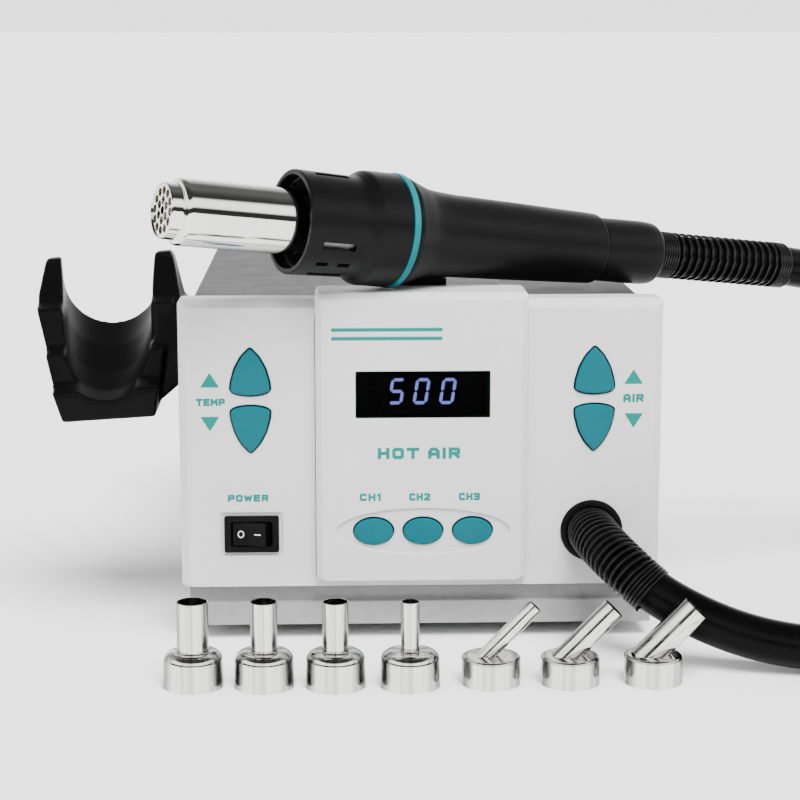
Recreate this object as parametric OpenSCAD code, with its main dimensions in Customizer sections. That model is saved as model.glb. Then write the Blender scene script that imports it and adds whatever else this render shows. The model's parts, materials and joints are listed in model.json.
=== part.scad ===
// Hot air station: a bench unit with a blower inside, a handle on a hose, a cradle and its nozzles.
// Millimetres, +Z up. X runs to the right, Y runs from the front face to the rear panel.

/* [Case] */
// Width of the front bezel
case_w = 188; // [184:1:192]
// Height of the bezel's top edge above the table
case_h = 135.2; // [134:0.1:136]
// Depth from the bezel's face to the back of the rear panel
case_d = 240; // [236:1:246]
// Depth of the bezel's rim
bezel_d = 14; // [13:0.5:16]
// Thickness of the bezel's plastic
bezel_t = 3; // [2.8:0.1:3.2]
// Thickness of the cover's sheet
cover_t = 1.6; // [1.2:0.1:2]
// Height of the rubber feet
foot_h = 6; // [5:0.5:6]

/* [Front panel] */
// How far the centre console stands out of the bezel
console_out = 6; // [5.5:0.1:6.5]
// Width of the centre console
console_w = 82.4; // [80:0.2:84]
// Travel of every push button
button_travel = 1.2; // [0.6:0.1:1.2]
// Play round every push button
button_play = 0.6; // [0.4:0.1:0.8]

/* [Handle] */
// Turn of the handle towards the front left
handle_yaw = 26.2; // [25.8:0.1:26.6]
// Downward slope of the handle towards its hose
handle_pitch = 7.2; // [7:0.1:7.3]
// Radius of the steel barrel
barrel_r = 12.5; // [12.2:0.1:12.7]
// Radius of the barrel's nose, which the nozzles fit over
nose_r = 10.45; // [10.3:0.05:10.5]
// Radius of the flange between guard and grip
flange_r = 22.2; // [21.5:0.1:22.2]

/* [Hose] */
// Outside diameter of the air hose
hose_d = 16.8; // [16:0.1:16.8]
// Wire diameter of the bend relief springs
spring_wire = 0.9; // [0.7:0.1:1]

/* [Nozzles] */
// Outside radius of the nozzle caps
cap_r = 10.95; // [10.9:0.05:11.2]
// Height of the straight nozzles
nozzle_h = 31.8; // [30:0.1:36]
// Lean of the angled nozzles from the vertical
nozzle_lean = 44; // [40:1:48]

/* [Hidden] */
$fn = 48;

// Colours
light_grey = [0.84, 0.85, 0.85];
mid_grey = [0.62, 0.63, 0.64];
teal = [0.0, 0.55, 0.6];
ring_teal = [0.06, 0.62, 0.68];
black = [0.1, 0.1, 0.1];
soft_black = [0.06, 0.06, 0.06];
steel = [0.78, 0.78, 0.77];
board_green = [0.05, 0.32, 0.18];
led_violet = [0.5, 0.55, 0.95];

// Levels above the table
base_z = foot_h;
base_floor_z = base_z + 2;
apron_z = 15;
bezel_z = 21.3;
cover_z = case_h - 4.6;
strip_z = cover_z + 1.8;
console_z0 = 24.8;
console_z1 = case_h + 3.3;

// Widths and depths
cover_w = case_w - 6.6;
base_w = case_w - 6;
cover_y = 10;
rear_y = case_d;
panel_t = 1.5;
panel_y = rear_y - 3;
flange_y = panel_y + panel_t;
bezel_wall = 2.4;
console_y1 = 18;
console_back = 10.5;
strip_w = 71;

// Controls: centres on the front face
temp_x = -66.2;
air_x = 67.3;
up_z = 98.2;
down_z = 93.9;
ch_x = [-18.7, 0.5, 19.8];
ch_z = 45.2;
window_x = 0.4;
window_z = 99;
window_w = 52;
window_h = 18.4;
switch_x = -66.3;
switch_z = 43;
gland_x = 67;
gland_z = 43.5;
board_y = 11;
switch_y = board_y - 3.5;
plunger_y = switch_y - 1;
stem_end_y = plunger_y - 0.1 - button_travel;

// Blower
blower_x = 40;
blower_y = 108;
outlet_y = 73;
blower_z0 = 27;
blower_z1 = 60;
volute_r = 38;
impeller_r = 31;

// Cradle: centre of its front view, and its roll
cradle_x = -124.7;
cradle_z = 115;
cradle_roll = -3.5;
cradle_w = 56.6;

// Handle: the centre of its trim ring in the case's frame
ring_x = -11.6;
ring_y = 9.6;
ring_z = console_z1 + 22.3;
tail_s = 122.5;
spring_end_s = 192;

// Hose: bend of the relief spring at the station, and the loop laid beside the station
relief_turn = 70;
relief_bend_r = 38.3;
relief_side = -38.6;
spring_bore_r = hose_d / 2 + 0.4;
spring_r = spring_bore_r + spring_wire;
hose_lay_z = hose_d / 2 + 0.1;
loop_x = 275.5;
loop_y = 33;
loop_r = 85;
loop_steps = 14;

// Nozzles: place of each cap, and radius of each spout
nozzle_x = [-86.2, -60.1, -33.9, -6.5, 23.4, 52.65, 83.5];
nozzle_y = [-55.7, -56.5, -57.4, -58, -56.4, -57, -56.5];
spout_r = [5.9, 4.95, 4.85, 3.45, 3, 4.4, 5.5];
cap_h = 13.2;
cap_rim_r = cap_r + 0.4;
low_cap_h = 10.5;
sheet_t = 0.45;

// The object's frame: its origin is on the table, under the middle of everything but the free hose
handle_dir = [
    cos(handle_pitch) * cos(handle_yaw),
    cos(handle_pitch) * sin(handle_yaw),
    -sin(handle_pitch)
];
object_right = ring_x + spring_end_s * handle_dir[0] + spring_r * sqrt(1 - pow(handle_dir[0], 2));
object_left = cradle_x - cradle_w / 2 - 1.4;
object_front = min(nozzle_y) - cap_rim_r;
object_rear = flange_y + 9.2;
case_x = -(object_left + object_right) / 2;
case_y = -(object_front + object_rear) / 2;

module at_case() {
    translate([case_x, case_y, 0]) children();
}

// Places children that are turned round Z along the handle's axis: Z = 0 is the trim ring's middle,
// +Z runs to the hose, +X points down and -Y to the front.
module along_handle() {
    at_case() translate([ring_x, ring_y, ring_z]) rotate([0, 90 + handle_pitch, handle_yaw]) children();
}

// A box from low to high corner.
module box(low, high) {
    translate(low) cube(high - low);
}

// A shape drawn in X and Z, standing between two values of Y.
module upright(y0, y1) {
    translate([0, y1, 0]) rotate([90, 0, 0]) linear_extrude(y1 - y0) children();
}

// A round bar or hole along Y.
module bar_y(x, z, r, y0, y1) {
    translate([x, y0, z]) rotate([-90, 0, 0]) cylinder(h = y1 - y0, r = r);
}

// A rectangle with its four corners cut off.
module cut_rect(x0, x1, z0, z1, c) {
    polygon([
        [x0 + c, z0], [x1 - c, z0], [x1, z0 + c], [x1, z1 - c],
        [x1 - c, z1], [x0 + c, z1], [x0, z1 - c], [x0, z0 + c]
    ]);
}

// A box whose front edges are chamfered by c.
module chamfered_front(x0, x1, y0, y1, z0, z1, c) {
    intersection() {
        upright(y0, y1) cut_rect(x0, x1, z0, z1, c / 2);
        translate([0, 0, z0]) linear_extrude(z1 - z0)
            polygon([[x0, y1], [x0, y0 + c], [x0 + c, y0], [x1 - c, y0], [x1, y0 + c], [x1, y1]]);
        translate([x0, 0, 0]) rotate([90, 0, 90]) linear_extrude(x1 - x0)
            polygon([[y1, z0], [y0, z0], [y0, z1 - c], [y0 + c, z1], [y1, z1]]);
    }
}

// ---- Case ----

foot_places = [for (x = [-74, 74], y = [34, 208]) [x, y]];

module chassis_base() {
    color(light_grey) at_case() difference() {
        union() {
            box([-base_w / 2, 4, base_z], [base_w / 2, rear_y, bezel_z - 0.8]);
            box([-base_w / 2, 1, base_z], [base_w / 2, 4, apron_z]);
        }
        box([-base_w / 2 + 2, 6, base_floor_z], [base_w / 2 - 2, rear_y - 2, bezel_z]);
        for (p = foot_places) translate([p[0], p[1], 0]) cylinder(h = 20, r = 1.8);
        for (x = [-56 : 8 : -24]) box([x, 110, 0], [x + 3, 130, 20]);
        for (a = [0 : 45 : 315])
            translate([blower_x, blower_y, 0]) rotate(a) translate([12, 0, 0]) cylinder(h = 20, r = 2.6);
    }
}

module side_slots(x) {
    for (y = [60 : 9 : 204]) box([x - 3, y, 58], [x + 3, y + 3, 84]);
}

module top_cover() {
    inner = cover_w / 2 - cover_t;
    color(mid_grey) at_case() difference() {
        union() {
            box([-cover_w / 2, cover_y, bezel_z], [cover_w / 2, rear_y, cover_z]);
            upright(console_y1 + 1, rear_y) polygon([
                [-strip_w / 2 - 1.8, cover_z - 1], [-strip_w / 2 - 1.8, cover_z],
                [-strip_w / 2, strip_z], [strip_w / 2, strip_z],
                [strip_w / 2 + 1.8, cover_z], [strip_w / 2 + 1.8, cover_z - 1]
            ]);
        }
        box([-inner, cover_y - 1, bezel_z - 1], [inner, rear_y + 1, cover_z - cover_t]);
        box(
            [-console_w / 2 - 1, cover_y - 1, cover_z - 3],
            [console_w / 2 + 1, console_y1 + 0.5, cover_z + 1]
        );
        side_slots(-cover_w / 2);
        side_slots(cover_w / 2);
        for (s = [-1, 1], y = [40, 190])
            translate([s * cover_w / 2 - 4, y, 30]) rotate([0, 90, 0]) cylinder(h = 8, r = 1.6);
        for (p = cradle_screw_places) translate([cradle_x + 14, p[0], cradle_z + p[1]])
            rotate([0, 90, 0]) cylinder(h = 30, r = 2.4);
    }
}

inlet_x = -52;
inlet_z = 44;
fuse_x = -14;

module rear_panel() {
    inner = cover_w / 2 - cover_t - 0.2;
    color(mid_grey) at_case() difference() {
        box([-inner, panel_y, bezel_z - 0.6], [inner, flange_y, cover_z - cover_t - 0.2]);
        box([inlet_x - 14.2, rear_y - 10, inlet_z - 10.7], [inlet_x + 14.2, case_d, inlet_z + 10.7]);
        for (s = [-1, 1]) bar_y(inlet_x + 20 * s, inlet_z, 1.7, rear_y - 10, case_d);
        bar_y(fuse_x, inlet_z, 6.2, rear_y - 10, case_d);
        for (x = [24 : 7 : 73], z = [40 : 7 : 89]) bar_y(x, z, 2.2, rear_y - 10, case_d);
    }
}

// ---- Front ----

// Outline of an upper rocker pad: a rounded bottom edge, straight lower flanks and a pointed top.
// g grows it all round.
module pad_outline(g = 0) {
    offset(delta = g) polygon(concat(
        [for (a = [-78 : 12 : 78]) [7.6 * sin(a) / sin(78), 2.6 - 2.6 * cos(a)]],
        [[7.3, 5.2], [5.8, 10.4], [3.4, 14.8], [0, 18.4], [-3.4, 14.8], [-5.8, 10.4], [-7.3, 5.2]]
    ));
}

module oval(w, h) {
    scale([w / h, 1]) circle(d = h, $fn = 64);
}

// Children drawn at an upper pad's place, or turned over at a lower pad's place.
module pad_place(x, up) {
    translate([x, up ? up_z : down_z, 0]) mirror([0, up ? 0 : 1, 0]) children();
}

module front_bezel() {
    color(light_grey) at_case() difference() {
        chamfered_front(-case_w / 2, case_w / 2, 0, bezel_d, bezel_z, case_h, 3);
        box(
            [-case_w / 2 + bezel_wall, bezel_t, bezel_z + bezel_wall],
            [case_w / 2 - bezel_wall, bezel_d + 1, case_h - bezel_wall]
        );
        box([-case_w / 2 + bezel_wall, 8, bezel_z - 1], [case_w / 2 - bezel_wall, bezel_d + 1, bezel_z + 5]);
        box([-console_w / 2, -1, console_z0], [console_w / 2, bezel_t + 1, case_h - 6]);
        box([-console_w / 2, -1, case_h - 7], [console_w / 2, bezel_d + 1, case_h + 1]);
        for (x = [temp_x, air_x], up = [true, false])
            upright(-1, bezel_t + 1) pad_place(x, up) pad_outline(button_play);
        upright(-1, 0.8) cut_rect(switch_x - 12.1, switch_x + 12.1, switch_z - 8.6, switch_z + 8.6, 0.8);
        box([switch_x - 9.8, -1, switch_z - 6.6], [switch_x + 9.8, bezel_t + 1, switch_z + 6.6]);
        bar_y(gland_x, gland_z, 11.2, -1, bezel_t + 1);
    }
}

module centre_console() {
    half = console_w / 2;
    color(light_grey) at_case() difference() {
        union() {
            chamfered_front(
                -half + 0.2, half - 0.2, -console_out, console_back, console_z0 + 0.2, console_z1, 2.4
            );
            box([-half + 0.2, 0, case_h - 6.8], [half - 0.2, console_y1, console_z1]);
        }
        box(
            [-half + 2.8, bezel_t - console_out, console_z0 + 3],
            [half - 2.8, console_back + 1, case_h - 6.9]
        );
        box([-half + 2.8, 2, case_h - 7.2], [half - 2.8, console_y1 - 2.4, console_z1 - 2.6]);
        box([-half - 1, bezel_d + 0.2, case_h - 8], [half + 1, console_y1 + 1, cover_z + 0.3]);
        box(
            [window_x - window_w / 2, -console_out - 1, window_z - window_h / 2],
            [window_x + window_w / 2, bezel_t - console_out + 1, window_z + window_h / 2]
        );
        for (x = ch_x) upright(-console_out - 1, bezel_t - console_out + 1)
            translate([x, ch_z]) oval(15.4 + 2 * button_play, 10.4 + 2 * button_play);
        upright(-console_out - 1, 0.9 - console_out) translate([0.6, ch_z]) oval(67.5, 18);
    }
}

module display_window() {
    color(soft_black) at_case() box(
        [window_x - window_w / 2 + 0.2, 0.6 - console_out, window_z - window_h / 2 + 0.2],
        [window_x + window_w / 2 - 0.2, 2.2 - console_out, window_z + window_h / 2 - 0.2]
    );
}

digits_y = 4 - console_out;

module display_module() {
    color(soft_black) at_case() {
        box([window_x - 25, digits_y, window_z - 8.6], [window_x + 25, digits_y + 8, window_z + 8.6]);
        for (x = [-20 : 8 : 20], z = [-6, 6]) bar_y(window_x + x, window_z + z, 0.4, digits_y + 8, board_y);
    }
}

digit_h = 10.2;
digit_w = 5.6;
digit_lean = 0.16;
stroke = 1.15;

// One straight segment of a digit as a leaning six-cornered bar from a to b.
module segment(a, b) {
    flat = a[1] == b[1];
    k = stroke / 2;
    gap = 0.18;
    pts = flat
        ? [
            [a[0] + gap, a[1]], [a[0] + k + gap, a[1] - k], [b[0] - k - gap, a[1] - k],
            [b[0] - gap, b[1]], [b[0] - k - gap, b[1] + k], [a[0] + k + gap, b[1] + k]
        ]
        : [
            [a[0], a[1] + gap], [a[0] + k, a[1] + k + gap], [b[0] + k, b[1] - k - gap],
            [b[0], b[1] - gap], [b[0] - k, b[1] - k - gap], [a[0] - k, a[1] + k + gap]
        ];
    polygon([for (p = pts) [p[0] + p[1] * digit_lean, p[1]]]);
}

// Segments in the order top, upper right, lower right, bottom, lower left, upper left, middle.
module digit(lit) {
    w = (digit_w - stroke) / 2;
    h = (digit_h - stroke) / 2;
    ends = [
        [[-w, h], [w, h]], [[w, 0], [w, h]], [[w, -h], [w, 0]], [[-w, -h], [w, -h]],
        [[-w, -h], [-w, 0]], [[-w, 0], [-w, h]], [[-w, 0], [w, 0]]
    ];
    for (i = lit) segment(ends[i][0], ends[i][1]);
}

module display_digits() {
    five = [0, 2, 3, 5, 6];
    zero = [0, 1, 2, 3, 4, 5];
    color(led_violet) at_case() upright(digits_y - 0.4, digits_y) {
        translate([-9.6, window_z + 0.8]) digit(five);
        translate([0, window_z + 0.8]) digit(zero);
        translate([10.2, window_z + 0.8]) digit(zero);
    }
}

switch_places = concat(
    [for (x = [temp_x, air_x], z = [up_z + 7, down_z - 7]) [x, z]],
    [for (x = ch_x) [x, ch_z]]
);

module control_board() {
    color(board_green) at_case() difference() {
        upright(board_y, board_y + 1.6) polygon([
            [-38, 30], [38, 30], [38, 62], [84, 62], [84, 122], [-84, 122], [-84, 62], [-38, 62]
        ]);
        for (x = [-80, 80], z = [66, 118]) bar_y(x, z, 1.6, board_y - 1, board_y + 3);
    }
}

module tact_switches() {
    color(black) at_case() for (p = switch_places) {
        box([p[0] - 3, switch_y, p[1] - 3], [p[0] + 3, board_y, p[1] + 3]);
        bar_y(p[0], p[1], 1.7, plunger_y, switch_y);
    }
}

// A teal pad in the wings: cap, keeper behind the panel and stem to its switch.
module wing_button(x, up) {
    color(teal) at_case() {
        upright(-1.2, bezel_t) pad_place(x, up) pad_outline(0);
        upright(bezel_t, bezel_t + 1) pad_place(x, up) pad_outline(1.2);
        bar_y(x, up ? up_z + 7 : down_z - 7, 1.8, bezel_t + 1, stem_end_y);
    }
}

module temp_up_button() { wing_button(temp_x, true); }
module temp_down_button() { wing_button(temp_x, false); }
module air_up_button() { wing_button(air_x, true); }
module air_down_button() { wing_button(air_x, false); }

// An oval channel button in the console.
module channel_button(i) {
    front = -console_out - 0.5;
    back = bezel_t - console_out;
    color(teal) at_case() {
        upright(front, back) translate([ch_x[i], ch_z]) oval(15.4, 10.4);
        upright(back, back + 1) translate([ch_x[i], ch_z]) oval(18, 13);
        bar_y(ch_x[i], ch_z, 1.8, back + 1, stem_end_y);
    }
}

module ch1_button() { channel_button(0); }
module ch2_button() { channel_button(1); }
module ch3_button() { channel_button(2); }

rocker_pivot_y = 4.6;
rocker_swing = 20;
rocker_pin_r = 1;

module switch_frame() {
    color(soft_black) at_case() difference() {
        union() {
            box([switch_x - 10.7, -0.9, switch_z - 7.3], [switch_x + 10.7, 0.8, switch_z + 7.3]);
            box([switch_x - 9.6, 0.8, switch_z - 6.4], [switch_x + 9.6, 17, switch_z + 6.4]);
        }
        box([switch_x - 8, -2, switch_z - 4.9], [switch_x + 8, 11, switch_z + 4.9]);
        translate([switch_x, rocker_pivot_y, switch_z - 6])
            cylinder(h = 12, r = rocker_pin_r + 0.05);
    }
}

// The rocker turns about a vertical pin. At rest its left half is pressed in.
module power_rocker() {
    color(black) at_case() difference() {
        translate([switch_x, rocker_pivot_y, switch_z - 4.7]) rotate(-rocker_swing / 2) linear_extrude(9.4)
            polygon([
                [-6.5, -6], [0, -5.1], [6.5, -6], [7.2, -1.5], [2.8, 3.4], [-2.8, 3.4], [-7.2, -1.5]
            ]);
        translate([switch_x, rocker_pivot_y, switch_z - 6])
            cylinder(h = 12, r = rocker_pin_r + 0.05);
    }
}

module rocker_pin() {
    color(steel) at_case() translate([switch_x, rocker_pivot_y, switch_z - 5.8])
        cylinder(h = 11.6, r = rocker_pin_r);
}

// ---- Air path ----

module hose_gland() {
    color(soft_black) at_case() translate([gland_x, 0, gland_z]) rotate([-90, 0, 0])
        rotate_extrude() polygon([
            [spring_r + 0.1, -1.6], [11.6, -1.6], [12.3, -0.9], [12.3, 0], [11.1, 0],
            [11.1, bezel_t], [12.6, bezel_t], [12.6, bezel_t + 3.4], [spring_r + 0.1, bezel_t + 3.4]
        ]);
}

// Outline of a close-wound spring's wall between two distances, as ridges one wire apart.
function ridges(inner, outer, length, pitch) = let (n = floor(length / pitch)) concat(
    [[inner, 0]],
    [for (i = [0 : n - 1], k = [0, 1, 2])
        [k == 1 ? outer : outer - 0.5, (i + k / 3) * length / n]],
    [[outer - 0.5, length], [inner, length]]
);

// The relief spring: a straight stretch inside the gland, then a bend down and to the right.
module station_spring() {
    color(soft_black) at_case() translate([gland_x, 0, gland_z]) {
        rotate([-90, 0, 0]) difference() {
            translate([0, 0, 0.05]) cylinder(h = 5.95, r = spring_r);
            cylinder(h = 20, r = spring_bore_r, center = true);
        }
        rotate([0, -relief_side, 0]) translate([relief_bend_r, 0, 0]) mirror([1, 0, 0]) mirror([0, 1, 0])
            rotate_extrude(angle = relief_turn) translate([relief_bend_r, 0]) difference() {
                circle(r = spring_r);
                circle(r = spring_bore_r);
            }
    }
}

module air_duct() {
    color(black) at_case() translate([gland_x, 0, gland_z]) rotate([-90, 0, 0]) difference() {
        translate([0, 0, bezel_t + 3.6]) cylinder(h = outlet_y - bezel_t - 3.6, r = 9);
        cylinder(h = 80, r = 7.4);
    }
}

module blower_housing() {
    color(black) at_case() difference() {
        union() {
            translate([blower_x, blower_y, blower_z0])
                cylinder(h = blower_z1 - blower_z0, r = volute_r, $fn = 96);
            box([gland_x - 11, outlet_y, blower_z0], [gland_x + 11, blower_y, blower_z1]);
            for (a = [45 : 90 : 315]) translate([blower_x, blower_y, base_floor_z])
                rotate(a) translate([30, 0, 0]) cylinder(h = blower_z0 - base_floor_z + 1, r = 4);
        }
        translate([blower_x, blower_y, blower_z0 + 2.5])
            cylinder(h = blower_z1 - blower_z0 - 5, r = volute_r - 2.5, $fn = 96);
        translate([blower_x, blower_y, blower_z0 - 1]) cylinder(h = 5, r = 17);
        translate([blower_x, blower_y, blower_z1 - 4]) cylinder(h = 6, r = 5);
        bar_y(gland_x, gland_z, 7.4, 70, blower_y - 10);
    }
}

module blower_impeller() {
    color(mid_grey) at_case() translate([blower_x, blower_y, 0]) difference() {
        union() {
            translate([0, 0, blower_z1 - 9]) cylinder(h = 1.6, r = impeller_r);
            translate([0, 0, blower_z0 + 6]) cylinder(h = blower_z1 - blower_z0 - 13, r = 5);
            for (a = [0 : 30 : 330]) rotate(a) translate([14, -0.7, blower_z0 + 6])
                rotate([0, 0, 12]) cube([16, 1.4, blower_z1 - blower_z0 - 15]);
        }
        cylinder(h = 100, r = 2.05);
    }
}

module blower_motor() {
    color(steel) at_case() translate([blower_x, blower_y, 0]) {
        translate([0, 0, blower_z1]) cylinder(h = 24, r = 18);
        translate([0, 0, blower_z1 + 24]) cylinder(h = 4, r = 6);
        translate([0, 0, blower_z0 + 8]) cylinder(h = blower_z1 - blower_z0 - 8, r = 2);
    }
}

// ---- Power ----

core_x = -48;
core_y = 178;

module transformer_core() {
    color(steel) at_case() difference() {
        box([core_x - 33, core_y - 17, base_floor_z], [core_x + 33, core_y + 17, base_floor_z + 56]);
        for (s = [-1, 1]) translate([core_x, core_y, 0])
            box([s * 16.5 - 5.5, -20, base_floor_z + 11], [s * 16.5 + 5.5, 20, base_floor_z + 45]);
    }
}

module transformer_winding() {
    color([0.75, 0.5, 0.2]) at_case() difference() {
        box(
            [core_x - 21.8, core_y - 27, base_floor_z + 11.3],
            [core_x + 21.8, core_y + 27, base_floor_z + 44.7]
        );
        box([core_x - 11.3, core_y - 17.3, base_floor_z], [core_x + 11.3, core_y + 17.3, base_floor_z + 60]);
        for (s = [-1, 1]) translate([core_x + s * 30.3, core_y, 0])
            box([-8.2, -17.3, 0], [8.2, 17.3, 90]);
        box([core_x - 25, core_y - 17.3, 0], [core_x - 11, core_y + 17.3, base_floor_z + 11.3]);
    }
}

board_z = base_floor_z + 8;

module power_board() {
    color(board_green) at_case() difference() {
        union() {
            box([-86, 46, board_z], [-12, 140, board_z + 1.6]);
            for (x = [-82, -16], y = [50, 136]) translate([x, y, base_floor_z])
                cylinder(h = board_z - base_floor_z + 0.5, r = 3);
        }
        for (x = [-82, -16], y = [50, 136]) translate([x, y, base_floor_z - 1]) cylinder(h = 20, r = 1.5);
    }
}

module power_components() {
    top = board_z + 1.6;
    color(mid_grey) at_case() {
        box([-80, 60, top], [-76, 120, top + 34]);
        for (y = [64 : 7 : 116]) box([-76, y, top], [-66, y + 1.6, top + 34]);
        for (y = [62, 84]) translate([-40, y, top]) cylinder(h = 26, r = 8);
        box([-54, 100, top], [-30, 122, top + 18]);
        for (y = [56, 72]) box([-24, y, top], [-16, y + 10, top + 14]);
    }
}

module inlet_socket() {
    color(soft_black) at_case() difference() {
        union() {
            upright(flange_y, flange_y + 2.4)
                cut_rect(inlet_x - 25, inlet_x + 25, inlet_z - 12, inlet_z + 12, 6);
            upright(flange_y, flange_y + 5.2)
                cut_rect(inlet_x - 15.2, inlet_x + 15.2, inlet_z - 11.6, inlet_z + 11.6, 2);
            upright(flange_y - 20, flange_y + 1)
                cut_rect(inlet_x - 13.8, inlet_x + 13.8, inlet_z - 10.3, inlet_z + 10.3, 1);
        }
        upright(flange_y - 12, flange_y + 8)
            cut_rect(inlet_x - 12.1, inlet_x + 12.1, inlet_z - 8.2, inlet_z + 8.2, 3);
        for (p = inlet_pin_places) box(
            [inlet_x + p[0] - 1.1, flange_y - 30, inlet_z + p[1] - 2.1],
            [inlet_x + p[0] + 1.1, flange_y, inlet_z + p[1] + 2.1]
        );
        for (s = [-1, 1]) bar_y(inlet_x + 20 * s, inlet_z, 1.7, flange_y - 1, flange_y + 4);
    }
}

inlet_pin_places = [[-7, -2], [0, 2], [7, -2]];

module inlet_pins() {
    color(steel) at_case() for (p = inlet_pin_places) box(
        [inlet_x + p[0] - 1, flange_y - 28, inlet_z + p[1] - 2],
        [inlet_x + p[0] + 1, flange_y - 1, inlet_z + p[1] + 2]
    );
}

module fuse_holder() {
    color(soft_black) at_case() translate([fuse_x, flange_y, inlet_z]) rotate([-90, 0, 0])
        rotate_extrude() polygon([
            [0, -32], [5.9, -32], [5.9, 0], [8, 0], [8, 2.4], [6.2, 2.4], [5.6, 8.6], [4.6, 9.2], [0, 9.2]
        ]);
}

module feet() {
    color(soft_black) at_case() for (p = foot_places) translate([p[0], p[1], 0])
        rotate_extrude() polygon([
            [1.8, 3.4], [4, 3.4], [4, 0], [8.6, 0], [9, 0.6], [9, foot_h], [1.8, foot_h]
        ]);
}

module foot_screws() {
    color(steel) at_case() for (p = foot_places) translate([p[0], p[1], 0])
        rotate_extrude() polygon([
            [0, 1.4], [2.8, 1.4], [3.4, 2.2], [3.4, 3.4], [1.7, 3.4], [1.7, foot_h + 6], [0, foot_h + 6]
        ]);
}

// A pan head screw along +Z, with its head's underside at 0.
module pan_screw(r, head_r, head_h, length) {
    difference() {
        rotate_extrude() polygon([
            [0, -length], [r, -length], [r, 0], [head_r, 0], [head_r, head_h * 0.6],
            [head_r * 0.6, head_h], [0, head_h]
        ]);
        for (a = [0, 90]) rotate(a)
            box([-head_r * 0.6, -0.35, head_h * 0.45], [head_r * 0.6, 0.35, head_h + 1]);
    }
}

module cover_screws() {
    color(steel) at_case() {
        for (s = [-1, 1], y = [40, 190]) translate([s * cover_w / 2, y, 30])
            rotate([0, 90 * s, 0]) pan_screw(1.5, 3, 1.9, 8);
        for (s = [-1, 1]) translate([inlet_x + 20 * s, flange_y + 2.4, inlet_z])
            rotate([-90, 0, 0]) pan_screw(1.5, 2.8, 1.8, 8);
    }
}

// ---- Cradle ----

// Children are drawn with X = 0 and Z = 0 at the middle of the cradle's front view.
module cradle_frame() {
    translate([cradle_x, 0, cradle_z]) rotate([0, cradle_roll, 0]) children();
}

cradle_screw_places = [[48, -5], [62, 0]];

// The space that the handle's barrel lies in, open upwards: depth, bottom and radius of its sections
trough_sections = [
    [8, -24, 16], [20, -22.8, 16.6], [30, -20, 17.2], [42, -14.4, 17.6], [56, -6.2, 18.2], [73, 2.1, 20],
    [82, 5.3, 21]
];

module trough() {
    for (i = [0 : len(trough_sections) - 2]) hull() for (up = [0, 70], section = [i, i + 1]) {
        at = trough_sections[section];
        translate([0, at[0], at[1] + at[2] + up]) rotate([90, 0, 0]) cylinder(h = 0.02, r = at[2], $fn = 48);
    }
}

// Rounds a flat shape's outer and inner corners.
module eased(r) {
    offset(r = r, $fn = 32) offset(r = -2 * r, $fn = 32) offset(r = r, $fn = 32) children();
}

module cradle() {
    side = [
        [20, -30.2], [20, -18.5], [29, -15.4], [32, -4.6], [39, -2.2], [43, 12.4], [50, 14.6],
        [62, 28.4], [66, 30.6], [73, 30.6], [73, -2.5], [59, -17], [47, -30.2]
    ];
    front = [
        [-18.6, -30.2], [18.2, -30.2], [21.2, -15], [26.8, 13], [27, 18], [26, 31],
        [-25.4, 31], [-28.3, 17], [-28.2, 13], [-22.6, -15]
    ];
    web_x = -cover_w / 2 - cradle_x;
    color(black) at_case() difference() {
        union() {
            cradle_frame() intersection() {
                translate([-30, 0, 0]) rotate([90, 0, 90]) linear_extrude(60) eased(1.4) polygon(side);
                upright(10, 80) polygon(front);
            }
            intersection() {
                translate([cradle_x, 0, cradle_z]) upright(34, 73)
                    polygon([
                        [16, -26], [20, -26], [web_x, -14], [web_x, 10], [29.1, 14], [25.2, 30.4], [22, 30.4]
                    ]);
                translate([cradle_x, 0, cradle_z]) rotate([90, 0, 90]) linear_extrude(60)
                    polygon([
                        [34, -31], [34, -4], [43, 12], [50, 16], [62, 30], [73, 31], [73, -3], [59, -19], [47, -31]
                    ]);
            }
        }
        cradle_frame() {
            trough();
            translate([0, 34, -31]) cylinder(h = 5.2, r = 5.1);
        }
        for (p = cradle_screw_places) translate([cradle_x + 17, p[0], cradle_z + p[1]])
            rotate([0, 90, 0]) cylinder(h = 20, r = 1.9);
    }
}

module cradle_screws() {
    color(steel) at_case() for (p = cradle_screw_places)
        translate([-cover_w / 2 + cover_t, p[0], cradle_z + p[1]]) rotate([0, 90, 0])
            pan_screw(1.7, 3.5, 2.2, 12);
}

module cradle_magnet() {
    color(steel) at_case() cradle_frame() translate([0, 34, -30.2]) cylinder(h = 4.2, r = 5);
}

// ---- Rest under the grip ----

module rest_block() {
    color(soft_black) difference() {
        at_case() box([-10.4, console_y1 + 1.6, strip_z], [10.6, console_y1 + 17, 147]);
        along_handle() rotate_extrude($fn = 96) polygon([
            [0, -30], [flange_r + 0.5, -30], [flange_r + 0.5, 4], [21, 6], [18.2, 13], [17.5, 18],
            [16.8, 27], [16, 57], [16, 80], [0, 80]
        ]);
    }
}

// ---- Hose ----

relief_dir = [cos(relief_side), sin(relief_side)];
relief_steps = 6;

// A point of the relief's bend: forward along -Y, sideways along relief_dir in X and Z.
function relief_point(a) = let (side = relief_bend_r * (1 - cos(a))) [
    gland_x + side * relief_dir[0],
    -relief_bend_r * sin(a),
    gland_z + side * relief_dir[1]
];

hose_end = [ring_x, ring_y, ring_z] + (spring_end_s + 0.3) * handle_dir;

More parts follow.
